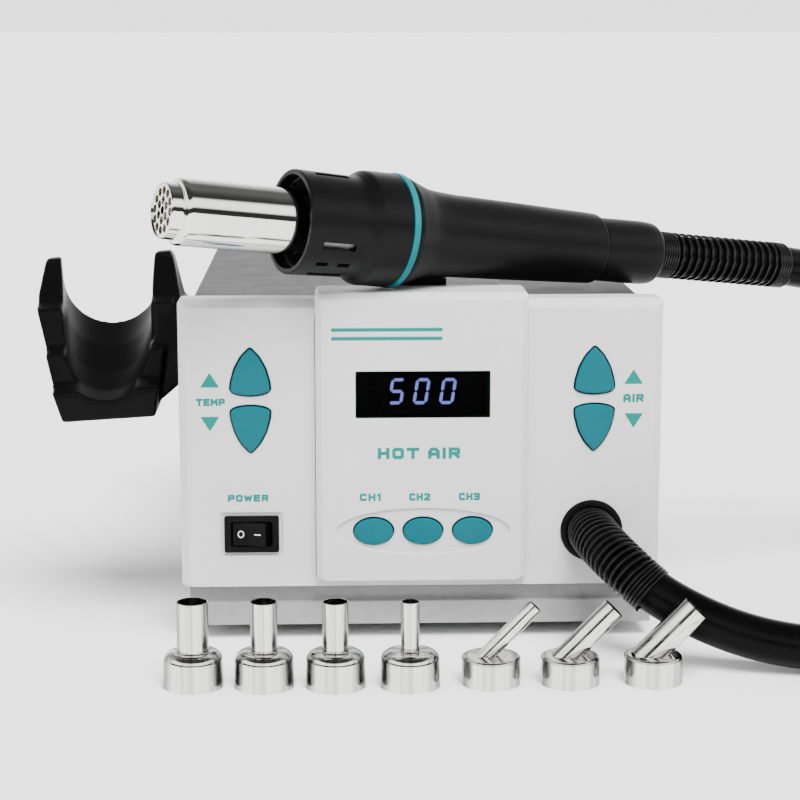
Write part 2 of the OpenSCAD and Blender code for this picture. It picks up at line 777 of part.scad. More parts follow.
// The route in the case's frame: out of the gland, down to the table, once round the loop,
// over itself and up to the handle.
hose_out = [
    [98, -39.5, 22], [110, -43, 16.8], [126, -46.5, 12.2], [144, -49, 9.6], [168, -51, 8.6],
    [202, -52, 8.5], [239, -51, 8.5]
];
hose_loop = [for (i = [0 : loop_steps]) let (
    a = i * 360 / loop_steps - 90,
    lift = min(1, max(0, i - loop_steps + 4) / 3)
) [
    loop_x + loop_r * cos(a),
    loop_y + loop_r * sin(a),
    hose_lay_z + (hose_d + 0.5) * lift * lift * (3 - 2 * lift)
]];
hose_up = [
    [312.4, -43.6, 25.8], [342, -20, 25.8], [358.4, 14.1, 25.8], [358.4, 51.9, 25.8],
    [342, 86, 25.8], [323, 105, 26.6], [301, 116, 30.2], [279, 122.5, 38], [261, 125, 49],
    [246, 125.2, 62.5], [234.5, 124.2, 77.5], [226, 122.5, 91], [217, 119.6, 103.5],
    [206, 115.4, 115], [194, 110.4, 125], [181, 104.4, 131.7]
];
hose_route = concat(
    [[gland_x, 6, gland_z]],
    [for (i = [0 : relief_steps]) relief_point(i * relief_turn / relief_steps)],
    hose_out, hose_loop, hose_up,
    [hose_end + 10 * handle_dir, hose_end]
);

function unit(v) = v / norm(v);
function ring_heading(path, i) = unit(path[min(i + 1, len(path) - 1)] - path[max(i - 1, 0)]);

// A tube with flat ends and n sides along a path.
module swept_tube(path, r, n) {
    points = [for (i = [0 : len(path) - 1]) let (
        t = ring_heading(path, i),
        side = unit(cross(t, [0, 0, 1])),
        up = cross(side, t)
    ) for (k = [0 : n - 1]) path[i] + r * (cos(k * 360 / n) * side + sin(k * 360 / n) * up)];
    last = len(path) - 1;
    walls = [for (i = [0 : last - 1], k = [0 : n - 1]) let (m = (k + 1) % n)
        each [[i * n + k, i * n + m, (i + 1) * n + m], [i * n + k, (i + 1) * n + m, (i + 1) * n + k]]];
    polyhedron(
        points = points,
        faces = concat([[for (k = [n - 1 : -1 : 0]) k]], walls, [[for (k = [0 : n - 1]) last * n + k]])
    );
}

module hose() {
    color(soft_black) at_case() swept_tube(hose_route, hose_d / 2, 10);
}

// ---- Handle ----

module grip() {
    color(black) along_handle() rotate_extrude($fn = 96) polygon([
        [12.9, 1.4], [flange_r - 0.9, 1.4], [flange_r - 0.9, 3.4], [20.4, 5.4], [17.6, 12.6], [16.9, 17],
        [16.2, 26], [15.4, 56], [14.4, 88], [14.2, 92.4], [13.6, 93],
        [10.6, 93], [10.6, 90], [11.8, 88], [13.4, 40], [13.6, 14], [12.9, 9]
    ]);
}

module grip_tail() {
    color(black) along_handle() rotate_extrude($fn = 96) polygon([
        [spring_r + 0.15, 93.2], [12.9, 93.2], [13, 118], [12.5, 121], [11.4, tail_s], [spring_r + 0.15, tail_s]
    ]);
}

long_slot = 14;
short_slot = 5;
slot_s = -30.2;

// A slot through the guard's wall, a degrees round from below towards the front.
module guard_slot(a, s, length, width) {
    rotate(-a) translate([10, -width / 2, s - length / 2]) cube([14, width, length]);
}

module front_guard() {
    color(black) along_handle() difference() {
        rotate_extrude($fn = 96) polygon([
            [17.7, -43.5], [19.6, -43.5], [19.9, -43], [19.4, -20], [19.6, -18], [21.4, -12.6], [21.7, -11],
            [flange_r, -1.4], [12.9, -1.4], [12.9, -5], [17.2, -7], [17.2, -10.5],
            [12.6, -10.5], [12.6, -13.5], [17.4, -13.5]
        ]);
        for (m = [-1, 1]) {
            for (a = [20, 69, 165]) guard_slot(m * a, slot_s, long_slot, 3);
            for (s = [-4.5, 4.5]) guard_slot(m * 44, slot_s + s, short_slot, 2);
        }
    }
}

module trim_ring() {
    color(ring_teal) along_handle() rotate_extrude($fn = 96) polygon([
        [13, -1.3], [flange_r, -1.3], [flange_r + 0.1, 0], [flange_r, 1.3], [13, 1.3]
    ]);
}

barrel_s0 = -95.4;

module barrel() {
    inner = barrel_r - 0.6;
    color(steel) along_handle() rotate_extrude($fn = 96) polygon([
        [nose_r - 0.7, barrel_s0], [nose_r - 0.2, barrel_s0], [nose_r, barrel_s0 + 0.4], [nose_r, -90.4],
        [11.5, -90.2], [12.2, -89.6], [barrel_r, -88.4], [barrel_r, -6], [inner, -6], [inner, -88.6],
        [11.2, -89.6], [nose_r - 0.7, -89.9]
    ]);
}

module barrel_grille() {
    color(steel) along_handle() difference() {
        translate([0, 0, barrel_s0 + 0.6]) cylinder(h = 1.4, r = nose_r - 0.8);
        for (ring = [[1, 0], [6, 3.7], [12, 7.3]], i = [0 : ring[0] - 1])
            rotate(i * 360 / ring[0]) translate([ring[1], 0, barrel_s0]) cylinder(h = 4, r = 1.6, $fn = 24);
    }
}

module heater_core() {
    color([0.9, 0.86, 0.78]) along_handle() difference() {
        translate([0, 0, -86]) cylinder(h = 66, r = 9);
        for (a = [0 : 60 : 300]) rotate(a) translate([5.6, 0, -90]) cylinder(h = 80, r = 1.6, $fn = 24);
        translate([0, 0, -90]) cylinder(h = 80, r = 1.8, $fn = 24);
    }
}

module mica_sleeve() {
    color([0.72, 0.6, 0.4]) along_handle() difference() {
        translate([0, 0, -88]) cylinder(h = 74, r = 11.4);
        translate([0, 0, -89]) cylinder(h = 76, r = 9.4);
    }
}

module handle_spring() {
    start = tail_s - 26;
    color(soft_black) along_handle() translate([0, 0, start])
        rotate_extrude() polygon(ridges(spring_bore_r, spring_r, spring_end_s - start, 3.6));
}

module handle_hose_end() {
    start = tail_s - 28;
    color(soft_black) along_handle() translate([0, 0, start]) difference() {
        cylinder(h = spring_end_s - start, r = hose_d / 2);
        translate([0, 0, -1]) cylinder(h = 16, r = hose_d / 2 - 2);
    }
}

// ---- Nozzles ----

// A straight spout on a turned cap, drawn as one thin wall.
module straight_nozzle(i) {
    r = spout_r[i];
    t = sheet_t;
    color(steel) at_case() translate([nozzle_x[i], nozzle_y[i], 0]) rotate_extrude() polygon([
        [cap_r - t, 0], [cap_rim_r, 0], [cap_r + 0.1, 1.2], [cap_r, cap_h - 3.6],
        [cap_r - 0.4, cap_h - 2], [cap_r - 1.2, cap_h - 0.9], [cap_r - 2.4, cap_h - 0.2], [cap_r - 3.8, cap_h],
        [r, cap_h - 0.1], [r, nozzle_h], [r - t, nozzle_h], [r - t, cap_h - t - 0.1], [cap_r - 3.9, cap_h - t],
        [cap_r - 2.7, cap_h - t - 0.2], [cap_r - 1.6, cap_h - t - 0.8], [cap_r - t - 0.4, cap_h - 2.3],
        [cap_r - t, cap_h - 3.8]
    ]);
}

// A leaning spout on a lower cap. Its axis crosses a point beside the cap's middle, inside the cap.
module angled_nozzle(i, root_x, length) {
    r = spout_r[i];
    t = sheet_t;
    root = [root_x, 0, low_cap_h - 2];
    color(steel) at_case() translate([nozzle_x[i], nozzle_y[i], 0]) difference() {
        union() {
            rotate_extrude() polygon([
                [cap_r - t, 0], [cap_r, 0], [cap_r, low_cap_h - 1.2], [cap_r - 0.3, low_cap_h - 0.4],
                [cap_r - 1.1, low_cap_h], [0, low_cap_h], [0, low_cap_h - t], [cap_r - 1.3, low_cap_h - t],
                [cap_r - t - 0.2, low_cap_h - 0.8], [cap_r - t, low_cap_h - 1.5]
            ]);
            difference() {
                translate(root) rotate([0, nozzle_lean, 0]) cylinder(h = length, r = r);
                box([-15, -15, -5], [15, 15, low_cap_h - t]);
            }
        }
        translate(root) rotate([0, nozzle_lean, 0]) translate([0, 0, -2]) cylinder(h = length + 5, r = r - t);
    }
}

module nozzle_1() { straight_nozzle(0); }
module nozzle_2() { straight_nozzle(1); }
module nozzle_3() { straight_nozzle(2); }
module nozzle_4() { straight_nozzle(3); }
module nozzle_5() { angled_nozzle(4, -3.7, 28.6); }
module nozzle_6() { angled_nozzle(5, -2.9, 27.2); }
module nozzle_7() { angled_nozzle(6, -3.3, 26.8); }

chassis_base();
top_cover();
rear_panel();
front_bezel();
centre_console();
display_window();
display_module();
display_digits();
control_board();
tact_switches();
temp_up_button();
temp_down_button();
air_up_button();
air_down_button();
ch1_button();
ch2_button();
ch3_button();
switch_frame();
power_rocker();
rocker_pin();
hose_gland();
station_spring();
air_duct();
blower_housing();
blower_impeller();
blower_motor();
transformer_core();
transformer_winding();
power_board();
power_components();
inlet_socket();
inlet_pins();
fuse_holder();
feet();
foot_screws();
cover_screws();
cradle();
cradle_screws();
cradle_magnet();
rest_block();
hose();
grip();
grip_tail();
front_guard();
trim_ring();
barrel();
barrel_grille();
heater_core();
mica_sleeve();
handle_spring();
handle_hose_end();
nozzle_1();
nozzle_2();
nozzle_3();
nozzle_4();
nozzle_5();
nozzle_6();
nozzle_7();
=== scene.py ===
import json
import math

import bmesh
import bpy
from mathutils import Matrix, Vector

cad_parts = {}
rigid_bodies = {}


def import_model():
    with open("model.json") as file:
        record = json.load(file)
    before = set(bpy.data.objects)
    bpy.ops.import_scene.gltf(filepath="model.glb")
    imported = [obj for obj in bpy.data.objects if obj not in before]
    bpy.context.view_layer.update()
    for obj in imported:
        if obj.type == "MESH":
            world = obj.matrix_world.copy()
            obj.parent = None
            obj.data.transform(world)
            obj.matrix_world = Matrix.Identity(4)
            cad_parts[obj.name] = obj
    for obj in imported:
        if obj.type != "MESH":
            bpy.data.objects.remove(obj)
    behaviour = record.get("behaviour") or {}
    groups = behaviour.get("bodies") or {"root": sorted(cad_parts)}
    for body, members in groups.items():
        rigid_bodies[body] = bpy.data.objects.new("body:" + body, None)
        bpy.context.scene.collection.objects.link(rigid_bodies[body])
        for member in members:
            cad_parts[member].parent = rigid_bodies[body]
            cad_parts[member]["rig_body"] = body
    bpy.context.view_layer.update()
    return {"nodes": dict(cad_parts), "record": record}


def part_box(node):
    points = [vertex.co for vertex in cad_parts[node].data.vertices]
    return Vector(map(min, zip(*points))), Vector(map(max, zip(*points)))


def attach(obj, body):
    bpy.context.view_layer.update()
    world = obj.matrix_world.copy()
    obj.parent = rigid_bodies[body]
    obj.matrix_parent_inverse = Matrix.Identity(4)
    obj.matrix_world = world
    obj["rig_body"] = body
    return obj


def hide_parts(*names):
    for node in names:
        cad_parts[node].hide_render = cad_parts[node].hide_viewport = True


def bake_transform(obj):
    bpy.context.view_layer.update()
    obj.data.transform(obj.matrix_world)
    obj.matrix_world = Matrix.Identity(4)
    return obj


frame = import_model()

# Shapes are drawn in millimetres, either in the case's frame (X = 0 at its middle, Y = 0 on its front
# face, Z = 0 on the table) or in the handle's frame (Z along its axis towards the hose, +X down).
MM = 0.001
NODES = frame["nodes"]
bezel_low, bezel_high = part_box("front_bezel")
CASE_ORIGIN = Vector(((bezel_low.x + bezel_high.x) / 2, bezel_low.y, 0))
CASE = Matrix.Translation(CASE_ORIGIN) @ Matrix.Scale(MM, 4)
CASE_W = (bezel_high.x - bezel_low.x) / MM
CASE_H = bezel_high.z / MM
CASE_D = (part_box("top_cover")[1].y - bezel_low.y) / MM

seat = next(m for m in frame["record"]["mounts"] if m["name"] == "nozzle_seat")
HANDLE_DIR = -Vector(seat["axis"]).normalized()
HANDLE_YAW = math.atan2(HANDLE_DIR.y, HANDLE_DIR.x)
HANDLE_PITCH = -math.asin(HANDLE_DIR.z)
RING = sum(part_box("trim_ring"), Vector()) / 2
HANDLE_TURN = Matrix.Rotation(HANDLE_YAW, 4, "Z") @ Matrix.Rotation(math.pi / 2 + HANDLE_PITCH, 4, "Y")
HANDLE = Matrix.Translation(RING) @ HANDLE_TURN @ Matrix.Scale(MM, 4)


# ---- Camera ----

CAMERA_PLACE = (-34.8, -787.3, 240.7)
CAMERA_TILT = 79.59
CAMERA_YAW = -1.93
CAMERA_LENS = 93.0


def add_camera():
    data = bpy.data.cameras.new("camera")
    data.lens = CAMERA_LENS
    data.sensor_width = 36
    data.clip_start = 0.01
    data.clip_end = 50
    camera = bpy.data.objects.new("camera", data)
    camera.location = CASE @ Vector(CAMERA_PLACE)
    camera.rotation_euler = (math.radians(CAMERA_TILT), 0, math.radians(CAMERA_YAW))
    bpy.context.scene.collection.objects.link(camera)
    bpy.context.scene.camera = camera


# ---- Outlines: closed lists of (x, z) ----

def rounded(points, radius, steps=4):
    """The outline with every corner rounded by at most the radius."""
    result = []
    for i, corner in enumerate(points):
        corner = Vector(corner)
        before = Vector(points[i - 1]) - corner
        after = Vector(points[(i + 1) % len(points)]) - corner
        cut = min(radius, before.length * 0.45, after.length * 0.45)
        start = corner + before.normalized() * cut
        end = corner + after.normalized() * cut
        for k in range(steps + 1):
            t = k / steps
            result.append(tuple(start * (1 - t) ** 2 + corner * 2 * t * (1 - t) + end * t * t))
    return result


def rectangle(x0, x1, z0, z1, radius=1.0, steps=5):
    points = []
    corners = ((x1 - radius, z0 + radius, -90), (x1 - radius, z1 - radius, 0),
               (x0 + radius, z1 - radius, 90), (x0 + radius, z0 + radius, 180))
    for x, z, start in corners:
        for k in range(steps + 1):
            a = math.radians(start + 90 * k / steps)
            points.append((x + radius * math.cos(a), z + radius * math.sin(a)))
    return points


def oval(x, z, width, height, steps=72):
    turns = [2 * math.pi * k / steps for k in range(steps)]
    return [(x + width / 2 * math.cos(a), z + height / 2 * math.sin(a)) for a in turns]


def grown(outline, amount):
    """The anticlockwise outline moved outwards by amount, or inwards where it is negative."""
    result = []
    for i, point in enumerate(outline):
        a = (Vector(point) - Vector(outline[i - 1])).normalized()
        b = (Vector(outline[(i + 1) % len(outline)]) - Vector(point)).normalized()
        out_a, out_b = Vector((a.y, -a.x)), Vector((b.y, -b.x))
        move = (out_a + out_b) / max(0.4, 1 + out_a.dot(out_b))
        result.append(tuple(Vector(point) + move * amount))
    return result


# ---- Meshes ----

class Skin:
    """A closed surface made of walls between loops of points, and flat fills between loops."""

    def __init__(self):
        self.bm = bmesh.new()

    def wall(self, loops):
        rows = [[self.bm.verts.new(p) for p in loop] for loop in loops]
        for a, b in zip(rows, rows[1:]):
            for i in range(len(a)):
                j = (i + 1) % len(a)
                self.bm.faces.new((a[i], a[j], b[j], b[i]))
        return rows[0], rows[-1]

    def fill(self, *rows):
        edges = []
        for row in rows:
            for i, vert in enumerate(row):
                edge = self.bm.edges.get((vert, row[i - 1]))
                edges.append(edge or self.bm.edges.new((vert, row[i - 1])))
        bmesh.ops.triangle_fill(self.bm, use_beauty=True, use_dissolve=False, edges=edges)

    def prism(self, outline, y0, y1, edge0=0.0, edge1=0.0):
        """A solid standing on an outline between two depths, with its front and back edges rounded."""
        middle = (y0 + y1) / 2
        rows = self.wall(rim(outline, y0, middle, edge0) + rim(outline, y1, middle, edge1)[::-1])
        self.fill(rows[0])
        self.fill(rows[1])

    def piece(self, name, place=CASE, sharp=35):
        bmesh.ops.remove_doubles(self.bm, verts=self.bm.verts, dist=0.002)
        bmesh.ops.recalc_face_normals(self.bm, faces=self.bm.faces)
        mesh = bpy.data.meshes.new(name)
        self.bm.to_mesh(mesh)
        self.bm.free()
        mesh.transform(place)
        return finished(bpy.data.objects.new(name, mesh), sharp)


def finished(obj, sharp=35):
    """Links an object and gives it smooth shading that keeps its sharp edges and flat faces."""
    if obj.name not in bpy.context.scene.collection.objects:
        bpy.context.scene.collection.objects.link(obj)
    obj.data.shade_smooth()
    obj.data.set_sharp_from_angle(angle=math.radians(sharp))
    weighted = obj.modifiers.new("normals", "WEIGHTED_NORMAL")
    weighted.keep_sharp = True
    weighted.weight = 100
    return obj


def at_depth(outline, y):
    return [(x, y, z) for x, z in outline]


def rim(outline, y0, y1, radius, hole=False, steps=4):
    """Loops from a face at depth y0 over an edge of that radius and along to depth y1."""
    if radius <= 0:
        return [at_depth(outline, y0), at_depth(outline, y1)]
    loops = []
    deeper = 1 if y1 > y0 else -1
    for k in range(steps + 1):
        a = math.pi / 2 * k / steps
        side = radius * (1 - math.sin(a))
        depth = y0 + deeper * radius * (1 - math.cos(a))
        loops.append(at_depth(grown(outline, side if hole else -side), depth))
    return loops + [at_depth(outline, y1)]


def lathe(name, profile, place, steps=160, sharp=35):
    """A solid turned round Z from a closed profile of (radius, height). It keeps each point's turn."""
    skin = Skin()
    turned = skin.bm.verts.layers.float_vector.new("turned")
    rows = []
    for i in range(steps):
        a = 2 * math.pi * i / steps
        side = Vector((math.cos(a), math.sin(a), 0))
        row = [skin.bm.verts.new(side * r + Vector((0, 0, z))) for r, z in profile]
        for vert in row:
            vert[turned] = side
        rows.append(row)
    for i in range(steps):
        a, b = rows[i], rows[(i + 1) % steps]
        for k in range(len(profile)):
            m = (k + 1) % len(profile)
            if profile[k][0] > 0 or profile[m][0] > 0:
                skin.bm.faces.new((a[k], b[k], b[m], a[m]))
    return skin.piece(name, place, sharp)


def tube(name, path, radius, place=CASE, sides=10):
    """A round bar along a path of points, with the least twist."""
    skin = Skin()
    points = [Vector(p) for p in path]
    rows = []
    side = None
    for i, point in enumerate(points):
        along = (points[min(i + 1, len(points) - 1)] - points[max(i - 1, 0)]).normalized()
        if side is None:
            side = along.orthogonal().normalized()
        side = (side - along * side.dot(along)).normalized()
        up = along.cross(side)
        turns = [2 * math.pi * k / sides for k in range(sides)]
        rows.append([point + radius * (math.cos(a) * side + math.sin(a) * up) for a in turns])
    first, last = skin.wall(rows)
    skin.bm.faces.new(first)
    skin.bm.faces.new(last)
    return skin.piece(name, place, sharp=60)


def cut(obj, *cutters):
    """Takes the cutters away from obj and applies the result to its mesh."""
    for cutter in cutters:
        boolean = obj.modifiers.new("cut", "BOOLEAN")
        boolean.operation = "DIFFERENCE"
        boolean.solver = "EXACT"
        boolean.object = cutter
        obj.modifiers.move(len(obj.modifiers) - 1, 0)
        cutter.modifiers.clear()
    applied(obj)
    for cutter in cutters:
        bpy.data.objects.remove(cutter)
    return obj


def applied(obj):
    """Replaces an object's mesh with its evaluated one and drops its modifiers."""
    graph = bpy.context.evaluated_depsgraph_get()
    names = [m.name for m in obj.modifiers if m.type == "WEIGHTED_NORMAL"]
    for name in names:
        obj.modifiers.remove(obj.modifiers[name])
    graph.update()
    mesh = bpy.data.meshes.new_from_object(obj.evaluated_get(graph))
    obj.modifiers.clear()
    obj.data = mesh
    return finished(obj)


def joined(name, pieces):
    """Several meshes as one."""
    skin = bmesh.new()
    for p in pieces:
        skin.from_mesh(p.data)
    mesh = bpy.data.meshes.new(name)
    skin.to_mesh(mesh)
    skin.free()
    for p in pieces:
        bpy.data.objects.remove(p)
    return finished(bpy.data.objects.new(name, mesh))


def dress(obj, body, material, slot, *nodes):
    """Gives a piece its body and its material, and hides the CAD nodes that it stands for; the slot is not
    used.
    """
    obj.data.materials.clear()
    obj.data.materials.append(material)
    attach(obj, body)
    if nodes:
        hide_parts(*nodes)
    return obj


# ---- Materials ----

class Shader:
    """A principled material with a few procedural layers in the object's own coordinates."""

    def __init__(self, name, color, roughness, metallic=0.0):
        self.material = bpy.data.materials.new(name)
        self.material.use_nodes = True
        self.tree = self.material.node_tree
        self.bsdf = self.tree.nodes["Principled BSDF"]
        self.bsdf.inputs["Base Color"].default_value = (*color, 1)
        self.bsdf.inputs["Roughness"].default_value = roughness
        self.bsdf.inputs["Metallic"].default_value = metallic
        self.coords = self.node("ShaderNodeTexCoord").outputs["Object"]
        self.color = color
        self.roughness = roughness
        self.normal = None

    def node(self, kind, **values):
        node = self.tree.nodes.new(kind)
        for key, value in values.items():
            if key in node.inputs:
                node.inputs[key].default_value = value
            else:
                setattr(node, key, value)
        return node

    def link(self, a, b):
        self.tree.links.new(a, b)

    def noise(self, scale, detail=3.0, stretch=None):
        node = self.node("ShaderNodeTexNoise", Scale=scale, Detail=detail)
        if stretch:
            mapping = self.node("ShaderNodeMapping")
            mapping.inputs["Scale"].default_value = stretch
            self.link(self.coords, mapping.inputs["Vector"])
            self.link(mapping.outputs["Vector"], node.inputs["Vector"])
        else:
            self.link(self.coords, node.inputs["Vector"])
        return node.outputs["Fac"]

    def ramp(self, value, low, high, out_low=0.0, out_high=1.0):
        node = self.node("ShaderNodeMapRange")
        node.inputs["From Min"].default_value = low
        node.inputs["From Max"].default_value = high
        node.inputs["To Min"].default_value = out_low
        node.inputs["To Max"].default_value = out_high
        self.link(value, node.inputs["Value"])
        return node.outputs["Result"]

    def tint(self, factor, other):
        """Mixes another colour over what the base colour is so far."""
        mix = self.node("ShaderNodeMix", data_type="RGBA")
        socket = self.bsdf.inputs["Base Color"]
        if socket.is_linked:
            self.link(socket.links[0].from_socket, mix.inputs[6])
        else:
            mix.inputs[6].default_value = (*self.color, 1)
        mix.inputs[7].default_value = (*other, 1)
        self.link(factor, mix.inputs[0])
        self.link(mix.outputs[2], socket)
        return self

    def mottle(self, scale, other, low=0.35, high=0.75, detail=4.0):
        return self.tint(self.ramp(self.noise(scale, detail), low, high), other)

    def wear(self, other, low=0.52, high=0.62, amount=0.6):
        """A lighter colour on the convex edges, broken up by noise."""
        point = self.node("ShaderNodeNewGeometry").outputs["Pointiness"]
        times = self.node("ShaderNodeMath", operation="MULTIPLY")
        self.link(self.ramp(point, low, high, 0, amount), times.inputs[0])
        self.link(self.ramp(self.noise(300), 0.3, 0.6), times.inputs[1])
        return self.tint(times.outputs[0], other)

    def polish(self, scale, spread, stretch=None):
        """Varies the roughness by plus or minus spread."""
        noise = self.noise(scale, 4.0, stretch)
        value = self.ramp(noise, 0.3, 0.7, self.roughness - spread, self.roughness + spread)
        self.link(value, self.bsdf.inputs["Roughness"])
        return self

    def bump(self, scale, strength, distance, stretch=None, detail=2.0):
        bump = self.node("ShaderNodeBump", Strength=strength, Distance=distance)
        self.link(self.noise(scale, detail, stretch), bump.inputs["Height"])
        if self.normal:
            self.link(self.normal, bump.inputs["Normal"])
        self.normal = bump.outputs["Normal"]
        self.link(self.normal, self.bsdf.inputs["Normal"])
        return self

    def set(self, **sockets):
        names = {"ior": "IOR", "transmission": "Transmission Weight", "emission": "Emission Strength",
                 "specular": "Specular IOR Level"}
        for key, value in sockets.items():
            self.bsdf.inputs[names[key]].default_value = value
        return self

    def glow(self, color, strength):
        self.bsdf.inputs["Emission Color"].default_value = (*color, 1)
        return self.set(emission=strength)


def moulded(name, color, darker, lighter, roughness, grain=2600, depth=0.00004, strength=0.35, specular=0.35,
            wear=0.35):
    """Satin moulded plastic: fine spark grain, a slow change of shade and paler edges."""
    shader = Shader(name, color, roughness).set(specular=specular)
    shader.mottle(22, darker).wear(lighter, amount=wear)
    return shader.polish(90, 0.05).bump(grain, strength, depth)


def black(name, shade, roughness, grain=2600, specular=0.08):
    """Black moulded plastic or rubber."""
    darker, lighter = shade * 0.7, shade * 3
    return moulded(name, (shade,) * 3, (darker,) * 3, (lighter,) * 3, roughness, grain, specular=specular)


def steel(name, color, roughness, stretch=(1, 1, 1), scratches=900, metallic=1.0):
    shader = Shader(name, color, roughness, metallic)
    shader.mottle(70, tuple(c * 0.86 for c in color))
    return shader.polish(260, roughness * 0.45, stretch).bump(scratches, 0.05, 0.00002, stretch, detail=4.0)


def steel_with_painted_reflections(name, color, dark, roughness):
    """Polished drawn steel with painted reflections: dark streaks along it stand in for mirrored dark
    surroundings, the strongest at its two sides and some at random round it.
    """
    shader = Shader(name, color, roughness, 1.0)
    turned = shader.node("ShaderNodeAttribute", attribute_name="turned").outputs["Vector"]
    split = shader.node("ShaderNodeSeparateXYZ")
    shader.link(turned, split.inputs[0])
    # Painted reflection: a dark band down each side of the turned form, easing off right at the side.
    sideways = shader.node("ShaderNodeMath", operation="ABSOLUTE")
    shader.link(split.outputs["X"], sideways.inputs[0])
    into = shader.ramp(sideways.outputs[0], 0.62, 0.92)
    away = shader.ramp(sideways.outputs[0], 0.95, 0.99, 1.0, 0.35)
    sides = shader.node("ShaderNodeMath", operation="MULTIPLY")
    shader.link(into, sides.inputs[0])
    shader.link(away, sides.inputs[1])
    # More painted reflection: dark streaks at random round the turn.
    noise = shader.node("ShaderNodeTexNoise", Scale=3.4, Detail=3.0)
    shader.link(turned, noise.inputs["Vector"])
    streaks = shader.ramp(noise.outputs["Fac"], 0.48, 0.66, 0, 0.5)
    painted_reflection = shader.node("ShaderNodeMath", operation="MAXIMUM")
    shader.link(sides.outputs[0], painted_reflection.inputs[0])
    shader.link(streaks, painted_reflection.inputs[1])
    shader.tint(painted_reflection.outputs[0], dark)
    return shader.polish(260, roughness * 0.4).bump(60, 0.05, 0.00002, detail=4.0)


def make_materials():
    m = {}
    m["bezel"] = moulded("bezel_plastic", (0.57, 0.575, 0.57), (0.55, 0.555, 0.55), (0.66, 0.66, 0.66), 0.42)
    m["base"] = moulded("base_paint", (0.22, 0.222, 0.22), (0.205, 0.207, 0.205), (0.3, 0.3, 0.3),
                        0.45, 1800)
    m["cover"] = moulded("cover_paint", (0.045, 0.045, 0.045), (0.04, 0.04, 0.04), (0.11, 0.11, 0.11),
                         0.55, 1500, 0.00006, 0.5, specular=0.2)
    m["teal"] = moulded("button_teal", (0.0, 0.098, 0.125), (0.0, 0.088, 0.11), (0.0, 0.13, 0.15),
                        0.34, 3000, 0.00002, specular=0.12)
    m["ring"] = moulded("ring_teal", (0.0, 0.13, 0.15), (0.0, 0.115, 0.135), (0.0, 0.17, 0.19),
                        0.34, 3000, 0.00002, specular=0.12)
    m["label"] = moulded("label_teal", (0.0, 0.165, 0.14), (0.0, 0.155, 0.13), (0.0, 0.175, 0.15),
                         0.4, 3000, 0.00001, specular=0.1)
    m["white"] = moulded("label_white", (0.8, 0.8, 0.8), (0.7, 0.7, 0.7), (0.85, 0.85, 0.85),
                         0.4, 3000, 0.00001)
    m["handle"] = black("handle_black", 0.004, 0.36, specular=0.1)
    m["grip"] = black("grip_black", 0.0035, 0.4, specular=0.1)
    m["cradle"] = black("cradle_black", 0.0025, 0.34, 1600, specular=0.06)
    m["switch"] = black("switch_black", 0.003, 0.3)
    m["display"] = black("display_black", 0.0004, 0.5, specular=0.01)
    m["rubber"] = black("rubber_black", 0.003, 0.45, 1200)
    m["blower"] = black("blower_black", 0.02, 0.5)
    m["ceramic"] = moulded("ceramic", (0.78, 0.73, 0.64), (0.7, 0.64, 0.55), (0.85, 0.8, 0.72), 0.75)
    m["mica"] = moulded("mica", (0.5, 0.4, 0.24), (0.4, 0.3, 0.16), (0.6, 0.5, 0.33), 0.4)
    m["winding"] = moulded("winding", (0.6, 0.32, 0.1), (0.45, 0.22, 0.06), (0.8, 0.5, 0.2), 0.35, 900)
    m["board"] = moulded("board", (0.02, 0.16, 0.07), (0.015, 0.12, 0.05), (0.1, 0.3, 0.15), 0.3, 700)
    m["parts"] = moulded("components", (0.3, 0.31, 0.33), (0.15, 0.15, 0.17), (0.5, 0.5, 0.5), 0.4, 600)
    hose = Shader("hose_rubber", (0.001, 0.001, 0.001), 0.28).set(specular=0.06)
    m["hose"] = hose.mottle(35, (0.002, 0.002, 0.002)).polish(60, 0.05).bump(700, 0.1, 0.00005)
    spring = Shader("spring_black", (0.0015, 0.0015, 0.0015), 0.2).set(specular=0.22)
    m["spring"] = spring.mottle(90, (0.003, 0.003, 0.003)).polish(200, 0.05)
    m["barrel"] = steel("barrel_steel", (0.84, 0.835, 0.82), 0.07, (30, 30, 1), 60)
    # The nozzles' steel, with painted reflections in this dark grey.
    m["nozzle"] = steel_with_painted_reflections("nozzle_steel", (0.8, 0.79, 0.77), (0.12, 0.12, 0.12), 0.13)
    m["screw"] = steel("screw_steel", (0.5, 0.5, 0.49), 0.3)
    m["core"] = steel("core_steel", (0.28, 0.28, 0.29), 0.5, (1, 40, 1), 40)
    m["sleeve"] = steel("sleeve_steel", (0.2, 0.2, 0.2), 0.4)
    m["motor"] = steel("motor_steel", (0.5, 0.5, 0.5), 0.35)
    led = Shader("led", (0.1, 0.12, 0.3), 0.3).mottle(400, (0.12, 0.14, 0.35))
    m["led"] = led.glow((0.3, 0.38, 1.0), 2.4)
    window = Shader("smoked_window", (0.30, 0.30, 0.34), 0.06).set(transmission=1.0, ior=1.06, specular=0.02)
    m["window"] = window.polish(40, 0.02).bump(15, 0.02, 0.0001)
    return {name: shader.material for name, shader in m.items()}


# ---- Hose and its springs ----

HOSE_R = 8.4
SPRING_R = 9.1
WIRE_R = 0.62
CLOSED_PITCH = 1.27
GLAND = Vector((67, 0, 43.5))
RELIEF_TURN = math.radians(70)
RELIEF_R = 38.3
RELIEF_SIDE = math.radians(-38.6)
HOSE_LAY_Z = HOSE_R + 0.1
LOOP_MIDDLE = (275.5, 33)
LOOP_R = 85
LOOP_STEPS = 14
SPRING_END = 192

